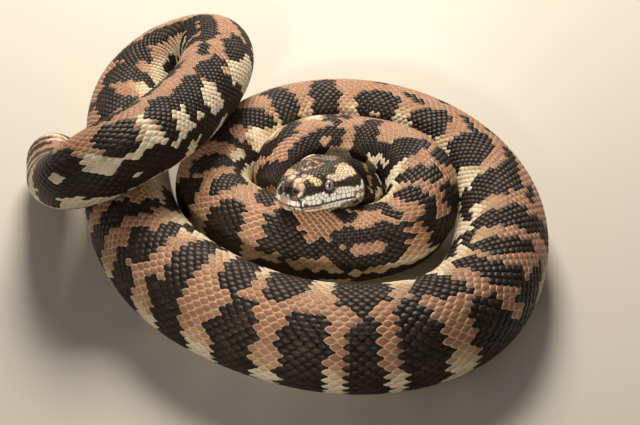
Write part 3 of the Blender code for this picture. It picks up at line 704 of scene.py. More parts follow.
def lay_flat(piece, uv):
    """The map OFBake from one place for each vertex; a face that crosses the
    map's side has its low corners moved up by one."""
    mesh = piece.data
    corner = np.empty(len(mesh.loops), dtype=np.int32)
    mesh.loops.foreach_get("vertex_index", corner)
    first = np.empty(len(mesh.polygons), dtype=np.int32)
    mesh.polygons.foreach_get("loop_start", first)
    flat = uv[corner]
    high = np.maximum.reduceat(flat[:, 1], first)
    sizes = np.diff(np.append(first, len(corner)))
    crosses = np.repeat(high, sizes) - flat[:, 1] > 0.5
    flat[:, 1] += crosses
    layer = mesh.uv_layers.new(name="OFBake")
    layer.data.foreach_set("uv", flat.astype(np.float32).ravel())


class Sum:
    """A shader socket that can be added, taken away, multiplied and divided."""

    def __init__(self, tree, socket):
        self.tree, self.socket = tree, socket

    def node(self, kind, settings=None, values=None, out=0):
        """Adds a node: its type, its settings, then its sockets' values or links."""
        made = self.tree.nodes.new(kind)
        for key, value in (settings or {}).items():
            setattr(made, key, value)
        for key, value in (values or {}).items():
            if isinstance(value, Sum):
                self.tree.links.new(value.socket, made.inputs[key])
            else:
                made.inputs[key].default_value = value
        return Sum(self.tree, made.outputs[out])

    def math(self, operation, first, second=0.0):
        return self.node("ShaderNodeMath", {"operation": operation}, {0: first, 1: second})

    def __add__(self, other):
        return self.math("ADD", self, other)

    def __mul__(self, other):
        return self.math("MULTIPLY", self, other)

    def __sub__(self, other):
        return self.math("SUBTRACT", self, other)

    def __rsub__(self, other):
        return self.math("SUBTRACT", other, self)

    def __truediv__(self, other):
        return self.math("DIVIDE", self, other)

    __radd__ = __add__
    __rmul__ = __mul__

    def clamped(self):
        return self.node("ShaderNodeClamp", {}, {0: self})

    def blend(self, mask, under, over, mode="MIX"):
        """Colour under with colour over laid on it by mask."""
        settings = {"data_type": "RGBA", "blend_type": mode}
        return self.node("ShaderNodeMix", settings, {0: mask, 6: under, 7: over}, out=2)


# fine and broad noise, each as size and detail, and how far they move the rim's
# edge, the specks and the roughness
GRAIN, CLOUD = (2600.0, 3.0), (520.0, 2.0)
RIM_CLOUD, RIM_GRAIN, RIM_SOFT = 0.22, 0.16, 0.16
SPECK_GRAIN, SPECK_CLOUD, SPECK = 1.6, 1.2, (0.34, 0.25, 0.19, 1.0)
ROUGH_GRAIN, ROUGH_CLOUD = 0.30, 0.22
BUMP_DEEP = 0.00012         # metres


def hide_material(name, roughness, speck, bump, sheen, rim_from):
    """Snake skin: the middle's colour inside, the rim's past rim_from, specked by
    fine noise; a satin surface with a very fine grain."""
    made = bpy.data.materials.new(name)
    made.use_nodes = True
    tree = made.node_tree
    shader = tree.nodes["Principled BSDF"]
    start = Sum(tree, None)
    place = start.node("ShaderNodeTexCoord", out="Object")
    middle = start.node("ShaderNodeAttribute", {"attribute_name": "tint"}, out="Color")
    rim = start.node("ShaderNodeAttribute", {"attribute_name": "edge"}, out="Color")
    off = start.node("ShaderNodeAttribute", {"attribute_name": "off_middle"}, out="Fac")
    grain, cloud = (start.node("ShaderNodeTexNoise", {},
                               {"Vector": place, "Scale": scale, "Detail": detail}, out="Fac")
                    for scale, detail in (GRAIN, CLOUD))
    past_rim = off - rim_from + (cloud - 0.5) * RIM_CLOUD + (grain - 0.5) * RIM_GRAIN
    tint = start.blend((past_rim / RIM_SOFT + 0.5).clamped(), middle, rim)
    mask = ((grain - 0.5) * SPECK_GRAIN + (cloud - 0.5) * SPECK_CLOUD + 0.5).clamped() * speck
    colour = start.blend(mask, tint, SPECK, "MULTIPLY")
    tree.links.new(colour.socket, shader.inputs["Base Color"])
    rough = (roughness + (grain - 0.5) * ROUGH_GRAIN + (cloud - 0.5) * ROUGH_CLOUD).clamped()
    tree.links.new(rough.socket, shader.inputs["Roughness"])
    relief = start.node("ShaderNodeBump", {}, {"Strength": bump, "Distance": BUMP_DEEP,
                                               "Height": grain}, out="Normal")
    tree.links.new(relief.socket, shader.inputs["Normal"])
    shader.inputs["Specular IOR Level"].default_value = sheen
    return made


def rings_faces(rows, sides):
    """Quads of a closed tube of rings and the fans that close its two ends."""
    r, c = np.meshgrid(np.arange(rows - 1), np.arange(sides), indexing="ij")
    d = (c + 1) % sides
    low, high = r * sides, (r + 1) * sides
    walls = np.stack([low + c, low + d, high + d, high + c], axis=-1)
    start = rows * sides
    turn = np.arange(sides)
    after = (turn + 1) % sides
    first = np.stack([np.full(sides, start), after, turn], axis=-1)
    end = start - sides
    last = np.stack([np.full(sides, start + 1), end + turn, end + after], axis=-1)
    return [walls.reshape(-1, 4), np.concatenate([first, last])]


BODY_MARKS_FROM, BODY_MARKS_OVER = 0.0455, 0.003    # metres back, at the nape


def marks(q, turn):
    """Middle and rim colours and darkness: the head's to the nape, the body's
    past it."""
    body = body_marks(np.maximum(q - HEAD_TO_BODY, 0.0), turn)
    head = head_marks(q, turn)
    mix = smooth_step((q - BODY_MARKS_FROM) / BODY_MARKS_OVER)
    middle, rim = (h + (b - h) * mix[..., None] for h, b in zip(head[:2], body[:2]))
    return middle, rim, head[2] + (body[2] - head[2]) * mix


# rings of the skin: on the cap, along the head, then a step apart or closer in bends
CAP_RINGS = 8
HEAD_RINGS_FROM, HEAD_RINGS_TO, HEAD_STEP = 0.35 * MM, 54.0 * MM, 0.6 * MM
BODY_STEP, BEND_STEP = 2.4 * MM, 0.11       # the bend's step in radians
cap_q = -CAP * np.sin(np.linspace(0.5 * np.pi, 0.0, CAP_RINGS))[1:]
head_q = np.arange(HEAD_RINGS_FROM, HEAD_RINGS_TO, HEAD_STEP)
rings_a_metre = np.sqrt((1.0 / BODY_STEP) ** 2 + (even_turn / BEND_STEP) ** 2)
rings_to = np.cumsum(rings_a_metre) * (even_s[1] - even_s[0])
first_ring = np.interp(HEAD_RINGS_TO - HEAD_TO_BODY, even_s, rings_to)
body_q = np.interp(np.arange(first_ring, rings_to[-1], 1.0), rings_to, even_s) + HEAD_TO_BODY
skin_q = np.concatenate([cap_q, head_q, body_q])
# columns of the skin: closer together beside both lips
COLUMN_STEP, LIP_HALF = 4.0, 7.0        # degrees
near_lip = np.radians([-6.0, -4.2, -2.8, -1.6, -0.5, 0.6, 1.7, 2.8, 3.9, 5.0, 6.3])
columns = np.radians(np.arange(0.0, 360.0, COLUMN_STEP))
off_lips = np.minimum(np.abs(columns - 0.5 * np.pi), np.abs(columns - 1.5 * np.pi))
columns = columns[off_lips > np.radians(LIP_HALF)]
columns = np.sort(np.concatenate([columns, 0.5 * np.pi + near_lip, 1.5 * np.pi + near_lip]))
grid_q, grid_turn = np.meshgrid(skin_q, columns, indexing="ij")
skin_depth = SKIN_DEPTH * girth_at(grid_q)
skin_points = sunk(grid_q, grid_turn, skin_depth)
SNOUT_IN, TAIL_OUT = 0.4, 1.2           # the end points of the skin, mm
snout = outside(np.array([-CAP]), np.array([0.0])) + head_back * SNOUT_IN * MM
tail_tip = skin_points[-1].mean(axis=0) + unit(even_t[-1]) * TAIL_OUT * MM
skin_points = np.concatenate([skin_points.reshape(-1, 3), snout.reshape(1, 3), tail_tip[None]])
skin_look = hide_material("skin_hide", roughness=0.5, speck=0.35, bump=0.4, sheen=0.35,
                          rim_from=0.9)
skin = new_piece("skin", skin_points, rings_faces(len(skin_q), len(columns)), skin_look)
flat_q, flat_turn = grid_q.ravel(), grid_turn.ravel()
_, skin_rim, skin_dark = marks(flat_q, flat_turn)
SHADE, SHADE_DARK = 0.66, 0.16          # the skin is the rims' colour, darkened as painted shade between the scales
between = skin_rim * (SHADE - SHADE_DARK * skin_dark[:, None])
# painted shade inside the mouth's slit, the nostrils and behind the eyes
RECESS_SHADE = np.array([0.012, 0.007, 0.006])
SLIT_REACH, EYE_REACH, NOSTRIL_REACH = 1.0, 3.4, 1.2        # mm
dark = hump(over_lip(flat_q, flat_turn), SLIT_REACH * MM) * (flat_q < MOUTH_CORNER)
skin_outside = outside(flat_q, flat_turn)
for middles, reach in ((eye_middles, EYE_REACH), (nostril_middles, NOSTRIL_REACH)):
    for middle in middles:
        far = np.linalg.norm(skin_outside - middle, axis=-1)
        dark = np.maximum(dark, far < reach * MM)
between = between + (RECESS_SHADE - between) * dark[:, None]
between = np.concatenate([between, between[:1], between[-1:]])
paint(skin, between, between, np.zeros(len(between)))
skin_uv = np.stack([(flat_q + CAP) / (Q_END + 2.0 * CAP), flat_turn / (2.0 * np.pi)], axis=1)
lay_flat(skin, np.concatenate([skin_uv, [[0.0, 0.5], [1.0, 0.5]]]))
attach(skin, "root")
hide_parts("head", "lower_jaw", "neck_1", "neck_2",
            *[f"trunk_{k:02d}" for k in range(1, 21)], "tail_1", "tail_2", "tail_3")


# ================================================================= body scales
# Smooth scales in slanting rows, each a low shield fixed by its front edge and
# free at the back, where it laps over the next.  They keep to the body's girth,
# so they are finest on the neck and towards the tail's tip.
ROWS = 51                   # rows from belly to belly
PITCH = 1.0 / 10.6          # length of a scale along the row, in girths
BELLY_HALF = np.radians(31.0)   # half of the section that the scutes take
COAT_FROM = 37.0 * MM       # back from the lip's front
FIRST_AT = 0.6              # the first scale of a row, in pitches
RIM = 10                    # corners of a scale
SCALE_THICK = 0.0125        # in girths
FINE_STEP = 0.2 * MM        # step of the table that spaces the scales
LEAN_SHARE, LEAN_FROM, LEAN_OVER = 0.5, 0.040, 0.050    # the rows' lean, metres back

fine_q = np.arange(COAT_FROM, Q_END, FINE_STEP)
count_at = np.concatenate([[0.0], np.cumsum(FINE_STEP / (PITCH * girth_at(fine_q)))[:-1]])
per_row = int(count_at[-1]) - 1
row, place = np.meshgrid(np.arange(ROWS), np.arange(per_row), indexing="ij")
row, place = row.ravel(), place.ravel()
step_row = 2.0 * (np.pi - BELLY_HALF) / ROWS
scale_q = np.interp(place + 0.5 * (row % 2) + FIRST_AT, count_at, fine_q)


def lean_at(q):
    """Lean of the rows at q: half the lean of the markings, none on the head."""
    lean = LEAN_SHARE * turn_of_back(np.maximum(q - HEAD_TO_BODY, 0.0))
    return lean * smooth_step((q - LEAN_FROM) / LEAN_OVER)


def fan(first, count):
    """Triangles that close a ring of count vertices from its first one."""
    k = np.arange(2, count)
    return np.stack([np.full(count - 2, first), first + k, first + k - 1], axis=1)


PATCH = 0.003               # each scale's patch on the map
MAP_FROM, MAP_WIDE = 0.004, 0.992


def coat(name, points, faces, middle, rim, off, root_q, root_turn, patch, material):
    """One joined mesh of many like scales, each a closed shell of its own, with
    its patch on the map at its root's place."""
    number, each = points.shape[:2]
    start = (np.arange(number) * each)[:, None, None]
    all_faces = [(f[None] + start).reshape(-1, f.shape[1]) for f in faces]
    piece = new_piece(name, points.reshape(-1, 3), all_faces, material)
    paint(piece, np.broadcast_to(middle, points.shape).reshape(-1, 3),
          np.broadcast_to(rim, points.shape).reshape(-1, 3), np.tile(off, number))
    along_map = (root_q - root_q.min()) / (root_q.max() - root_q.min())
    root = np.stack([along_map, (root_turn / (2.0 * np.pi)) % 1.0], axis=1)
    uv = MAP_FROM + MAP_WIDE * root[:, None] + 0.5 * PATCH * patch[None]
    lay_flat(piece, uv.reshape(-1, 2))
    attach(piece, "root")


rng = np.random.default_rng(7)
scale_turn = (row - 0.5 * (ROWS - 1)) * step_row + lean_at(scale_q)
scale_pitch = PITCH * girth_at(scale_q)
rim_angle = np.linspace(0.0, 2.0 * np.pi, RIM, endpoint=False)
rim_x, rim_y = np.sin(rim_angle), np.cos(rim_angle)
LOZENGE = 1.32              # the rim's power: 1 is a lozenge, 2 is round
to_rim = (np.abs(rim_x) ** LOZENGE + np.abs(rim_y) ** LOZENGE) ** (-1.0 / LOZENGE)
rim_x, rim_y = rim_x * to_rim, rim_y * to_rim
# unit scale: x across in row steps, y back in pitches, z out in thicknesses
under = np.stack([rim_x * 0.98, rim_y * 0.60 + 0.06, -1.15 + 0.45 * (rim_y > 0.3) * rim_y], axis=1)
shoulder = np.stack([rim_x * 0.82, rim_y * 0.52 + 0.08,
                     -0.34 + 0.32 * np.maximum(rim_y, -0.2)], axis=1)
shape = np.concatenate([under, shoulder, [[0.0, 0.08, -0.07]]])
off_middle = np.concatenate([np.full(RIM, 1.2), np.full(RIM, 0.82), [0.0]])
k = np.arange(RIM)
n = (k + 1) % RIM
scale_top = np.stack([RIM + k, RIM + n, np.full(RIM, 2 * RIM)], axis=1)
scale_faces = [np.stack([k, n, RIM + n, RIM + k], axis=1), np.concatenate([scale_top, fan(0, RIM)])]

SIZE_VARIES, LIFT_VARIES, TILT_VARIES, TONE_VARIES = 0.05, 0.16, 0.14, 0.08
size = 1.0 + SIZE_VARIES * rng.standard_normal(len(scale_q))[:, None]
lift = 1.0 + LIFT_VARIES * rng.standard_normal(len(scale_q))[:, None]
tilt = TILT_VARIES * rng.standard_normal((len(scale_q), 1)) * shape[:, 0]
at_q = np.minimum(scale_q[:, None] + shape[:, 1] * scale_pitch[:, None] * size, Q_END)
at_turn = scale_turn[:, None] + shape[:, 0] * step_row * size
tall = (SCALE_THICK * girth_at(scale_q))[:, None] * (shape[:, 2] * lift + tilt)
scale_points = outside(at_q, at_turn) + outward(scale_q, scale_turn)[:, None] * tall[..., None]
scale_points[..., 2] = np.maximum(scale_points[..., 2], 0.0)

COLOUR_LOW, MIDDLE_HIGH, RIM_HIGH = 0.004, 0.86, 0.88
middle, rim, _ = marks(scale_q, scale_turn)
tone = 1.0 + TONE_VARIES * rng.standard_normal((len(scale_q), 1))
middle = np.clip(middle * tone, COLOUR_LOW, MIDDLE_HIGH)
rim = np.clip(rim * (0.5 + 0.5 * tone), COLOUR_LOW, RIM_HIGH)
scale_look = hide_material("scale_hide", roughness=0.46, speck=0.34, bump=0.25, sheen=0.25,
                           rim_from=0.70)
SCALE_PIECES = 4
for number, group in enumerate(np.array_split(np.argsort(scale_q, kind="stable"), SCALE_PIECES)):
    coat(f"scales_{number + 1}", scale_points[group], scale_faces, middle[group][:, None],
         rim[group][:, None], off_middle, scale_q[group], scale_turn[group], shape[:, 1::-1],
         scale_look)


# ================================================================= belly scutes
# Broad smooth plates under the snake from the throat to the tail, one to each
# row of scales, each lapping back over the next.  They are cream with dark
# blotches at the sides, and lie flat where the snake rests on the ground.
SCUTE_ACROSS, SCUTE_ALONG = 9, 3
SCUTE_REACH = BELLY_HALF * 1.07
SCUTE_THICK, SCUTE_THIN = 0.45 * MM, 0.02       # or this many girths where less
SCUTE_FRONT, SCUTE_BACK = -0.5, 0.68            # its edges, in pitches
SCUTE_BOW = 0.22                                # its sides are shorter by this
BLOTCH_SPACE, BLOTCH_SIZE = 15.0, 17.0          # mm: half width of the belly, blotch
BLOTCH_SIDE, BLOTCH_BELOW, BLOTCH_SOFT = 0.5, 0.62, 0.2     # more of them at the sides

scute_q = np.interp(np.arange(per_row) + FIRST_AT, count_at, fine_q)
scute_pitch = PITCH * girth_at(scute_q)
across, back = np.meshgrid(np.linspace(-1.0, 1.0, SCUTE_ACROSS),
                           np.linspace(SCUTE_FRONT, SCUTE_BACK, SCUTE_ALONG), indexing="ij")
back = back * (1.0 - SCUTE_BOW * across ** 4)
lower = np.stack([across.ravel(), back.ravel()], axis=1)
scute_shape = np.concatenate([lower, lower])
scute_level = np.concatenate([0.10 + 0.30 * lower[:, 1], -0.75 + 0.30 * lower[:, 1]])
c, r = np.meshgrid(np.arange(SCUTE_ACROSS - 1), np.arange(SCUTE_ALONG - 1), indexing="ij")
corner = (c * SCUTE_ALONG + r).ravel()
sheet = np.stack([corner, corner + 1, corner + SCUTE_ALONG + 1, corner + SCUTE_ALONG], axis=1)
layer = SCUTE_ACROSS * SCUTE_ALONG
loop = np.concatenate([np.arange(SCUTE_ALONG), np.arange(2, SCUTE_ACROSS) * SCUTE_ALONG - 1,
                       layer - 1 - np.arange(SCUTE_ALONG),
                       np.arange(SCUTE_ACROSS - 2, 0, -1) * SCUTE_ALONG])
after = np.roll(loop, -1)
scute_faces = [np.concatenate([sheet, sheet[:, ::-1] + layer,
                               np.stack([loop, loop + layer, after + layer, after], axis=1)])]
scute_middle_turn = np.pi + lean_at(scute_q)
at_q = np.minimum(scute_q[:, None] + scute_shape[:, 1] * scute_pitch[:, None], Q_END)
at_turn = scute_middle_turn[:, None] + scute_shape[:, 0] * SCUTE_REACH
thick = np.minimum(SCUTE_THICK, SCUTE_THIN * girth_at(scute_q))[:, None, None]
scute_points = outside(at_q, at_turn) + outward(at_q, at_turn) * thick * scute_level[:, None]
scute_points[..., 2] = np.maximum(scute_points[..., 2], 0.0)
side_at = scute_shape[:, 0]
blotched = wander(at_q / MM, side_at * BLOTCH_SPACE, BLOTCH_SIZE, 6.0)
blotched = blotched + BLOTCH_SIDE * side_at ** 2 - BLOTCH_BELOW
blotched = smooth_step(0.5 + blotched / BLOTCH_SOFT)[..., None]
scute_tint = WHITE[0] + (BLACK[0] - WHITE[0]) * blotched
scute_rim = WHITE[1] * 0.9 + (BLACK[1] - WHITE[1] * 0.9) * blotched
scute_off = np.abs(scute_shape[:, 1]) * 1.5
scute_look = hide_material("scute_hide", roughness=0.36, speck=0.22, bump=0.2, sheen=0.5,
                           rim_from=0.92)
coat("belly_scutes", scute_points, scute_faces, scute_tint, scute_rim, scute_off, scute_q,
     scute_middle_turn, scute_shape[:, ::-1], scute_look)


# ================================================================== head plates
# The head wears flat horny plates edge to edge: nasals round the nostrils, tall
# plates along both lips, a ring round each eye and many small irregular ones
# over the crown and chin.  Each is a low closed pad grown on the head's skin.
UPPER_LIPS, LOWER_LIPS = 13, 16     # plates along each side of a lip
PLATE_SIDES = 14
PLATE_GAP = 0.05 * MM
# pairs: back from the lip's front in mm, degrees round from the top, radius in mm
NAMED_PLATES = [
    (3.0, 10, 1.7), (7.6, 10, 2.4), (12.4, 9, 2.2),     # internasals, prefrontals
    (0.9, 24, 1.1), (0.7, 47, 1.2), (5.4, 31, 1.7),     # nasals round the nostril
    (3.8, 50, 1.5), (6.9, 46, 1.5),                     # first loreals
    (18.6, 33, 1.7), (22.0, 32, 1.9), (25.6, 34, 1.8),  # brows
]
OCULARS, OCULAR_RING, OCULAR_RADIUS = 12, 4.6 * MM, 1.2 * MM
# left open: nostril and eye
OPENINGS = [(2.6, 30.3, 1.0), (22.6, 54.06, 3.2)]
# the front plates' own ground, left and up from the middle of the lip line, radius
FRONT_GROUND = [(0, 1, 1.6), (0, 3.2, 1.5), (0, 4.9, 1.1), (1.9, 2.4, 1.4), (2.8, 0.9, 1.4),
                (1.2, 4.2, 1.1), (0, -1.4, 1.4), (2, -1.2, 1.4), (0, -2.6, 1.3), (1.6, -2.3, 1.2)]


def on_lip(count, height):
    """Places of count plates spaced evenly along the left side of a lip, their
    middles height over the lip line."""
    lip_q = np.linspace(0.0, MOUTH_CORNER, 400)
    run = np.linalg.norm(np.diff(outside(lip_q, np.full(400, 0.5 * np.pi)), axis=0), axis=1)
    run = np.concatenate([[0.0], np.cumsum(run)])
    q = np.interp((np.arange(count) + 0.5) * run[-1] / count, run, lip_q)
    return np.stack([q, np.arctan2(profile_at(q)[:, 0], height + lip_height(q))], axis=1)


def both_sides(places):
    """Rows of (q, turn, radius) and the same on the right side."""
    return np.concatenate([places, places * np.array([1.0, -1.0, 1.0])])


def with_radius(places, radius):
    return np.concatenate([places, np.full((len(places), 1), radius)], axis=1)


ROW_STEP = 0.9              # from row to row, in plates


def rows_of(q_from, q_to, turn_from, turn_to, wide_front, wide_back):
    """Staggered places over part of the left side or across the top: rows a
    plate apart, each evenly spaced round its own arc."""
    found = []
    q, count = q_from, 0
    while q < q_to:
        wide = wide_front + (wide_back - wide_front) * (q - q_from) / (q_to - q_from)
        turn = np.linspace(turn_from, turn_to, 200)
        run = np.linalg.norm(np.diff(outside(np.full(200, q), turn), axis=0), axis=1)
        run = np.concatenate([[0.0], np.cumsum(run)])
        at = np.arange(0.25 + 0.5 * (count % 2), run[-1] / wide, 1.0) * wide
        here = np.stack([np.full(len(at), q), np.interp(at, run, turn)], axis=1)
        found.append(with_radius(here, 0.5 * wide))
        q, count = q + ROW_STEP * wide, count + 1
    return np.concatenate(found)


def clear_of(places, others, share):
    """The places that keep a share of both radii away from every other one."""
    gap = face(places[:, 0], places[:, 1])[0][:, None] - face(others[:, 0], others[:, 1])[0][None]
    room = share * (places[:, 2:3] + others[None, :, 2])
    return places[(np.linalg.norm(gap, axis=-1) > room).all(axis=1)]


ROOM, PUSH = 1.08, 0.3      # wanted space in radii, and share of a gap closed each time


def settled(free, fixed, rounds=40):
    """Pushes free places apart and off the fixed ones until they lie evenly: a
    pair closer than its two radii moves apart by a share of the overlap."""
    free = free.copy()
    held = face(fixed[:, 0], fixed[:, 1])[0]
    for _ in range(rounds):
        here = face(free[:, 0], free[:, 1])[0]
        gap = here[:, None] - np.concatenate([here, held])[None]
        far = np.linalg.norm(gap, axis=-1) + 1e-9
        want = ROOM * (free[:, 2:3] + np.concatenate([free[:, 2], fixed[:, 2]])[None])
        push = np.where(far > 1e-6, np.maximum(want - far, 0.0), 0.0) / far
        move = PUSH * np.sum(gap * push[..., None], axis=1)
        back, round_ = slopes(free[:, 0], free[:, 1])
        free[:, 0] += np.sum(move * back, axis=1) / np.sum(back * back, axis=1)
        free[:, 1] += np.sum(move * round_, axis=1) / np.sum(round_ * round_, axis=1)
    return free


FRONT_CELLS = 40            # cells of a search over the front
FRONT_END, SIDE_START = 5.0 * MM, 0.05 * MM


def to_map(points, nudge, forward):
    """Back and turn of points near the head: straight in from the side at their
    own distance back, or straight back onto the front for those that face forward."""
    local = (points + nudge - HEAD_TIP - shift) @ np.stack([head_back, head_left, head_up]).T
    turn = np.arctan2(local[..., 1], local[..., 2])
    far = np.hypot(local[..., 1], local[..., 2])
    step = np.linspace(0.0, FRONT_END, FRONT_CELLS + 1)
    grid = head_local(np.broadcast_to(step, turn.shape + step.shape), turn[..., None])
    wall = np.hypot(grid[..., 1], grid[..., 2])
    cell = np.clip(np.sum(wall < far[..., None], axis=-1) - 1, 0, FRONT_CELLS - 1)
    before, after = (np.take_along_axis(wall, (cell + d)[..., None], axis=-1)[..., 0]
                     for d in (0, 1))
    part = np.clip((far - before) / (after - before), 0.0, 1.0)
    front = step[cell] + (step[1] - step[0]) * part
    dome = -CAP * np.arccos(np.clip(far / wall[..., 0], 0.0, 1.0)) / (0.5 * np.pi)
    front = np.where(far < wall[..., 0], dome, front)
    return np.where(forward, front, np.maximum(local[..., 0], SIDE_START)), turn


NEIGHBOURS = 9.0 * MM       # plates farther off than this shape nothing
NARROWEST = 0.15 * MM
CORNERS = 12                # the power that rounds the corners: higher is sharper
FACES_FRONT = 0.6           # how far forward a plate faces to be laid from the front
PLATE_HIGH, SWELL = 0.06, 0.04      # height in mm, and more of it on larger plates
PIT_DEEP, PIT_RIM, PIT_SHADE = -0.28 * MM, 0.02 * MM, 0.12   # heat pits in a lip, with painted shade on their floors
COLOUR_FROM = 0.55          # a plate's colours are taken this share of the way out
PLATE_TONE = 0.07           # how far plates differ in brightness


def plates(name, places, others, colour_seed, pits=()):
    """Closed pads over places, each one's edge half way to its neighbours by the
    power rule (d d + r r - r' r') / 2 d, with its corners rounded off."""
    q, turn, radius = places.T
    spot, normal = face(q, turn)
    outer = outside(q, turn)
    ahead = unit(head_back - normal * (normal @ head_back)[:, None])
    beside = np.cross(normal, ahead)
    gap = others[None, :, :3] - spot[:, None]
    x, y = np.sum(gap * ahead[:, None], axis=-1), np.sum(gap * beside[:, None], axis=-1)
    far = np.linalg.norm(gap, axis=-1)
    power = far ** 2 + radius[:, None] ** 2 - others[None, :, 3] ** 2
    half = power / (2.0 * np.maximum(far, 1e-9)) - PLATE_GAP
    half = np.where((far < 1e-6) | (far > NEIGHBOURS), 1.0, np.maximum(half, NARROWEST))
    direction = np.linspace(0.0, 2.0 * np.pi, PLATE_SIDES, endpoint=False)
    toward = np.arctan2(y, x)
    press = np.maximum(np.cos(direction[None, :, None] - toward[:, None]), 0.0) / half[:, None]
    reach = np.sum((press * MM) ** CORNERS, axis=-1) ** (-1.0 / CORNERS) * MM
    reach = np.minimum(reach, 2.0 * radius[:, None])
    # the pad's rings from its foot up to its top, and their heights in mm
    rings = np.array([1.0, 0.93, 0.60])
    levels = np.array([-0.34, -0.05, 0.035])
    step = reach[:, None, :, None] * rings[None, :, None, None]
    rim = spot[:, None, None] + step * (np.cos(direction)[:, None] * ahead[:, None, None]
                                        + np.sin(direction)[:, None] * beside[:, None, None])
    pad = np.concatenate([rim.reshape(len(q), -1, 3), spot[:, None]], axis=1)
    forward = (normal @ -head_back)[:, None] > FACES_FRONT
    pad_q, pad_turn = to_map(pad, (outer - spot)[:, None], forward)
    on_face, out = face(pad_q, pad_turn)
    level = np.concatenate([np.repeat(levels, PLATE_SIDES), [PLATE_HIGH]])[None] * MM
    larger = reach.mean(axis=1, keepdims=True) - 1.0 * MM
    level = level + SWELL * np.maximum(level, 0.0) / (PLATE_HIGH * MM) * larger
    if len(pits):
        level[list(pits), -1] = PIT_DEEP
        level[list(pits), -1 - PLATE_SIDES:-1] -= PIT_RIM
    points = on_face + out * level[..., None]
    near_q = q[:, None] + COLOUR_FROM * (pad_q - q[:, None])
    turn_off = (pad_turn - turn[:, None] + np.pi) % (2.0 * np.pi) - np.pi
    middle, edge, _ = head_marks(near_q, turn[:, None] + COLOUR_FROM * turn_off)
    rng = np.random.default_rng(colour_seed)
    tone = 1.0 + PLATE_TONE * rng.standard_normal((len(q), 1, 1))
    middle, edge = (np.clip(colour * tone, COLOUR_LOW, RIM_HIGH) for colour in (middle, edge))
    if len(pits):
        # each heat pit's floor is painted dark as shade
        middle[list(pits), -1] *= PIT_SHADE
    ring = np.arange(PLATE_SIDES)
    after = (ring + 1) % PLATE_SIDES
    walls = [np.stack([ring + a, ring + b, after + b, after + a], axis=1)
             for a, b in ((0, PLATE_SIDES), (PLATE_SIDES, 2 * PLATE_SIDES))]
    top = np.full(PLATE_SIDES, 3 * PLATE_SIDES)
    crown = np.stack([ring + 2 * PLATE_SIDES, top, after + 2 * PLATE_SIDES], axis=1)
    crown = np.concatenate([crown, fan(0, PLATE_SIDES)[:, ::-1]])
    circle = np.stack([np.cos(direction), np.sin(direction)], axis=1)
    patch = np.repeat(rings, PLATE_SIDES)[:, None] * np.tile(circle, (3, 1))
    patch = np.concatenate([patch, [[0.0, 0.0]]])
    off = np.concatenate([np.repeat([1.2, 0.93, 0.5], PLATE_SIDES), [0.0]])
    coat(name, points, [np.concatenate(walls), crown], middle, edge, off, q, turn, patch,
         plate_look)


plate_look = hide_material("plate_horn", roughness=0.44, speck=0.16, bump=0.18, sheen=0.36,
                           rim_from=0.86)
named = np.array(NAMED_PLATES) * np.array([MM, np.pi / 180.0, MM])
opening = both_sides(np.array(OPENINGS) * np.array([MM, np.pi / 180.0, MM]))
eye_turn = opening[1, 1]
a_metre_back, a_radian_round = (
    np.linalg.norm(slope) for slope in slopes(np.array([EYE_BACK]), np.array([eye_turn])))
ring_turn = (np.arange(OCULARS) + 0.5) * 2.0 * np.pi / OCULARS
oculars = np.stack([EYE_BACK + OCULAR_RING * np.cos(ring_turn) / a_metre_back,
                    eye_turn + OCULAR_RING * np.sin(ring_turn) / a_radian_round], axis=1)
# neighbours that take no plate here: the front plates' ground and the first scales
FRONT_AT, SCALES_TO, SCALE_RADIUS = -0.6 * MM, 44.0 * MM, 1.05 * MM
front = np.array(FRONT_GROUND) * MM
front = np.concatenate([front, front * np.array([-1.0, 1.0, 1.0])])
front_local = np.stack([np.full(len(front), FRONT_AT), front[:, 0], front[:, 1]], axis=1)
front_ghosts = np.concatenate([from_head(front_local), front[:, 2:]], axis=1)
nearby = scale_q < SCALES_TO
body_first = np.stack([scale_q[nearby], scale_turn[nearby]], axis=1)
body_first = with_radius(body_first, SCALE_RADIUS)


def ghosts(places):
    """Model-space places with their radii."""
    return np.concatenate([face(places[:, 0], places[:, 1])[0], places[:, 2:3]], axis=1)


CLEAR = 0.80                # free plates start this share of both radii from others
CHIN_PITS = range(8, 14)    # lower lip plates with a heat pit, from the front
for half_name, count, lip_middle, free, seed in (
        ("plates_upper", UPPER_LIPS, 1.9 * MM,
         rows_of(9.0 * MM, 36.6 * MM, 0.0, np.radians(80.0), 2.3 * MM, 1.9 * MM), 21),
        ("plates_lower", LOWER_LIPS, -1.7 * MM,
         rows_of(3.0 * MM, 36.6 * MM, np.radians(98.0), np.pi, 2.5 * MM, 2.3 * MM), 22)):
    upper = lip_middle > 0.0
    fixed = both_sides(with_radius(on_lip(count, lip_middle), abs(lip_middle)))
    # places across the mouth's line keep the lip's edge straight
    across_lip = (2.0 * LIP_GAP * np.sign(lip_middle)) - lip_middle
    across_lip = both_sides(with_radius(on_lip(count, across_lip), abs(lip_middle)))
    if upper:
        round_eyes = both_sides(with_radius(oculars, OCULAR_RADIUS))
        fixed = np.concatenate([both_sides(named), round_eyes, fixed])
    walls = np.concatenate([opening, body_first, across_lip])
    free = clear_of(both_sides(free), np.concatenate([fixed, walls]), CLEAR)
    free = settled(free, np.concatenate([fixed, walls]))
    places = np.concatenate([fixed, free])
    others = np.concatenate([ghosts(places), ghosts(walls), front_ghosts])
    pits = () if upper else [k + side for side in (0, LOWER_LIPS) for k in CHIN_PITS]
    plates(half_name, places, others, seed, pits)


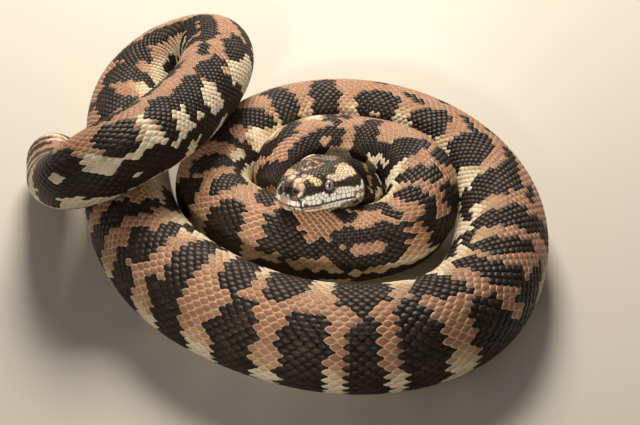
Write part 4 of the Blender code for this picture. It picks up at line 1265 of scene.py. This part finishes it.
# ================================================================= front plates
# Two larger plates grown on the front of the mouth: the rostral closes the upper
# lip and the mental the lower one.  Outlines are (left, up) in mm from the middle
# of the lip line, left half only.
ROSTRAL = [(0, 6.2), (0.9, 5.5), (1.7, 4.4), (2.6, 3.2), (3.7, 2.1), (4.3, 1.2), (4, 0.55),
           (2.4, 0.35), (1.2, 0.40), (0, 0.55)]
MENTAL = [(0, -0.45), (1.6, -0.45), (3, -0.55), (3.3, -1.2), (2.6, -2.3), (1.4, -3.2), (0, -3.5)]
FRONT_SIDES, FRONT_RINGS = 48, 4
FRONT_PATCH = 5.0 * MM      # so much of the front makes one patch on the map


def rounded(outline):
    """FRONT_SIDES even steps round a closed outline, with its corners eased by
    two passes of (before + 2 here + after) / 4."""
    half = np.array(outline) * MM
    whole = np.concatenate([half, half[-2:0:-1] * np.array([-1.0, 1.0]), half[:1]])
    run = np.concatenate([[0.0], np.cumsum(np.linalg.norm(np.diff(whole, axis=0), axis=1))])
    at = np.linspace(0.0, run[-1], FRONT_SIDES, endpoint=False)
    ring = np.stack([np.interp(at, run, whole[:, axis]) for axis in (0, 1)], axis=1)
    for _ in range(2):
        ring = 0.25 * np.roll(ring, 1, axis=0) + 0.5 * ring + 0.25 * np.roll(ring, -1, axis=0)
    return ring


rings = np.concatenate([np.repeat([1.0, 0.94, 0.75, 0.4], FRONT_SIDES), [0.0]])[:, None]
levels = np.concatenate([np.repeat([-0.34, -0.05, 0.06, 0.10], FRONT_SIDES), [0.10]]) * MM
front_flat = []
for outline in (ROSTRAL, MENTAL):
    ring = rounded(outline)
    middle_of = ring.mean(axis=0)
    pad = np.concatenate([np.tile(ring, (FRONT_RINGS, 1)), middle_of[None]])
    front_flat.append(middle_of + rings * (pad - middle_of))
front_flat = np.stack(front_flat)
ahead_of = from_head(np.concatenate([np.zeros(front_flat.shape[:2] + (1,)), front_flat], axis=2))
front_q, front_turn = to_map(ahead_of, np.zeros(3), np.ones(ahead_of.shape[:2], dtype=bool))
on_front, out = face(front_q, front_turn)
front_tint, front_rim, _ = head_marks(front_q, front_turn)
ring = np.arange(FRONT_SIDES)
after = (ring + 1) % FRONT_SIDES
front_walls = np.concatenate([
    np.stack([ring + a, after + a, after + a + FRONT_SIDES, ring + a + FRONT_SIDES], axis=1)
    for a in np.arange(FRONT_RINGS - 1) * FRONT_SIDES])
last = (FRONT_RINGS - 1) * FRONT_SIDES
top = np.full(FRONT_SIDES, FRONT_RINGS * FRONT_SIDES)
front_top = np.stack([ring + last, after + last, top], axis=1)
front_faces = [front_walls, np.concatenate([front_top, fan(0, FRONT_SIDES)])]
front_off = np.concatenate([np.repeat([1.2, 0.9, 0.6, 0.3], FRONT_SIDES), [0.0]])
front_patch = (front_flat[0] - front_flat[0].mean(axis=0)) / FRONT_PATCH
coat("plates_front", on_front + out * levels[:, None], front_faces, front_tint, front_rim,
     front_off, front_q.min(axis=1), np.array([0.0, np.pi]), front_patch, plate_look)


# ======================================================================== eyes
# A python has no eyelids: each eye is a ball under one clear fixed scale, set in
# the ring of small plates.  The iris is lilac-grey with a dark ring, and the
# pupil is an upright slit.
EYE_RINGS, EYE_SIDES = 56, 96
IRIS_EDGE, IRIS_SOFT = 0.80, 0.10           # in the eye's radius
STREAK_TURNS, STREAK_OUT, STREAK_SIZE = 6.0, 1.5, 1.4
SLIT_WIDE, SLIT_TALL, SLIT_TILT, SLIT_SOFT = 0.17, 0.60, np.radians(8.0), 0.25
LOOKS_BACK, LOOKS_OUT, LOOKS_UP = -0.56, 0.68, 0.47     # each eye looks ahead and out
IRIS = np.array([0.17, 0.125, 0.130])
IRIS_PALE = np.array([0.31, 0.25, 0.265])
IRIS_DEEP = np.array([0.050, 0.036, 0.036])
PUPIL = np.array([0.004, 0.003, 0.004])

eye_look = hide_material("eye_wet", roughness=0.22, speck=0.0, bump=0.0, sheen=0.5, rim_from=0.9)
eye_shader = eye_look.node_tree.nodes["Principled BSDF"]
eye_shader.inputs["Coat Weight"].default_value = 1.0
eye_shader.inputs["Coat Roughness"].default_value = 0.04
polar = np.linspace(0.0, np.pi, EYE_RINGS + 2)[1:-1]
circle = np.linspace(0.0, 2.0 * np.pi, EYE_SIDES, endpoint=False)
polar, circle = np.meshgrid(polar, circle, indexing="ij")
level = np.sin(polar)
ball = np.stack([level * np.cos(circle), level * np.sin(circle), np.cos(polar)], axis=-1)
ball = np.concatenate([ball.reshape(-1, 3), [[0.0, 0.0, 1.0], [0.0, 0.0, -1.0]]])
out_x, out_y = ball[:, 0], ball[:, 1]
from_middle = np.hypot(out_x, out_y)
slit_x = out_x * np.cos(SLIT_TILT) + out_y * np.sin(SLIT_TILT)
slit_y = out_y * np.cos(SLIT_TILT) - out_x * np.sin(SLIT_TILT)
streaks = wander(np.arctan2(out_y, out_x) * STREAK_TURNS, from_middle * STREAK_OUT,
                 STREAK_SIZE, 3.0)
eye_tint = IRIS + (IRIS_PALE - IRIS) * smooth_step(0.45 + 0.5 * streaks + 0.35 * out_y)[:, None]
past_iris = smooth_step((from_middle - IRIS_EDGE) / IRIS_SOFT)
eye_tint = eye_tint + (IRIS_DEEP - eye_tint) * past_iris[:, None]
in_slit = 1.0 - np.abs(slit_y / SLIT_TALL) ** 2.0 - np.abs(slit_x) / SLIT_WIDE
eye_tint = eye_tint + (PUPIL - eye_tint) * smooth_step(0.5 + in_slit / SLIT_SOFT)[:, None]
eye_tint = np.where(ball[:, 2:3] > 0.0, eye_tint, IRIS_DEEP)
for name, way, middle in (("left", 1.0, eye_middles[0]), ("right", -1.0, eye_middles[1])):
    looks = unit(LOOKS_BACK * head_back + way * LOOKS_OUT * head_left + LOOKS_UP * head_up)
    upright = unit(head_up - looks * (head_up @ looks))
    across_eye = np.cross(upright, looks) * -way
    rings = middle + EYE_RADIUS * (ball @ np.stack([across_eye, upright, looks]))
    faces = rings_faces(EYE_RINGS, EYE_SIDES)
    if np.cross(across_eye, upright) @ looks > 0.0:
        faces = [f[:, ::-1] for f in faces]
    eye = new_piece(f"eyeball_{name}", rings, faces, eye_look)
    paint(eye, eye_tint, eye_tint, np.zeros(len(ball)))
    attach(eye, "root")
    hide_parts(f"eye_{name}")


# ============================================================ floor and light
# A plain pale floor, and studio lamps that are not part of the snake: a warm main
# lamp close over the coil from behind, a faint broad fill from the near left, and
# a soft pool on the head and the inner loop.
FLOOR_HALF, FLOOR_COLOUR, FLOOR_ROUGH = 3, (0.62, 0.58, 0.52, 1.0), 0.8
SURROUND, SURROUND_POWER = (1.0, 0.97, 0.92, 1.0), 0.145
corners = [(x * FLOOR_HALF, y * FLOOR_HALF, 0) for x, y in ((-1, -1), (1, -1), (1, 1), (-1, 1))]
floor_mesh = bpy.data.meshes.new("floor")
floor_mesh.from_pydata(corners, [], [(0, 1, 2, 3)])
floor = bpy.data.objects.new("floor", floor_mesh)
bpy.context.scene.collection.objects.link(floor)
floor_look = bpy.data.materials.new("floor_paper")
floor_look.use_nodes = True
floor_shader = floor_look.node_tree.nodes["Principled BSDF"]
floor_shader.inputs["Base Color"].default_value = FLOOR_COLOUR
floor_shader.inputs["Roughness"].default_value = FLOOR_ROUGH
floor_mesh.materials.append(floor_look)


def lamp(name, kind, spot, aim, power, colour):
    """A lamp at spot, turned to shine on aim: its light, still to be sized."""
    light = bpy.data.lights.new(name, kind)
    light.energy, light.color = power, colour
    holder = bpy.data.objects.new(name, light)
    away = np.array(spot) - np.array(aim)
    level = np.hypot(away[0], away[1])
    holder.location = spot
    holder.rotation_euler = (np.arctan2(level, away[2]), 0.0, np.arctan2(away[0], -away[1]))
    bpy.context.scene.collection.objects.link(holder)
    return light


bpy.context.scene.view_settings.view_transform = "Standard"
key = lamp("key_lamp", "AREA", (-0.02, 0.58, 0.68), (0.0, 0.0, 0.02), 11.5, (1.0, 0.90, 0.78))
key.size = 0.36
fill = lamp("fill_lamp", "AREA", (-0.55, -0.95, 0.55), (0.0, 0.0, 0.03), 1.9, (1.0, 0.95, 0.88))
fill.size = 0.8
pool = lamp("pool_lamp", "SPOT", (-0.16, -0.82, 0.48), (0.018, -0.02, 0.05), 44.0,
            (1.0, 0.94, 0.86))
pool.spot_size, pool.spot_blend, pool.shadow_soft_size = np.radians(11.5), 1.0, 0.07
world = bpy.data.worlds.new("studio")
world.use_nodes = True
backdrop = world.node_tree.nodes["Background"]
backdrop.inputs["Color"].default_value = SURROUND
backdrop.inputs["Strength"].default_value = SURROUND_POWER
bpy.context.scene.world = world


# ====================================================================== camera
# It stands at the near side and looks down on the coil, level with its middle.
CAMERA_UP, CAMERA_FAR, CAMERA_LENS = np.radians(41.0), 0.90, 86.0
CAMERA_AIM = np.array([0.0241, -0.0142, 0.020])
camera_data = bpy.data.cameras.new("camera")
camera_data.lens, camera_data.sensor_width = CAMERA_LENS, 36.0
camera_data.clip_start = 0.01
camera = bpy.data.objects.new("camera", camera_data)
away = np.array([0.0, -np.cos(CAMERA_UP), np.sin(CAMERA_UP)])
camera.location = CAMERA_AIM + CAMERA_FAR * away
camera.rotation_euler = (0.5 * np.pi - CAMERA_UP, 0.0, 0.0)
bpy.context.scene.collection.objects.link(camera)
bpy.context.scene.camera = camera
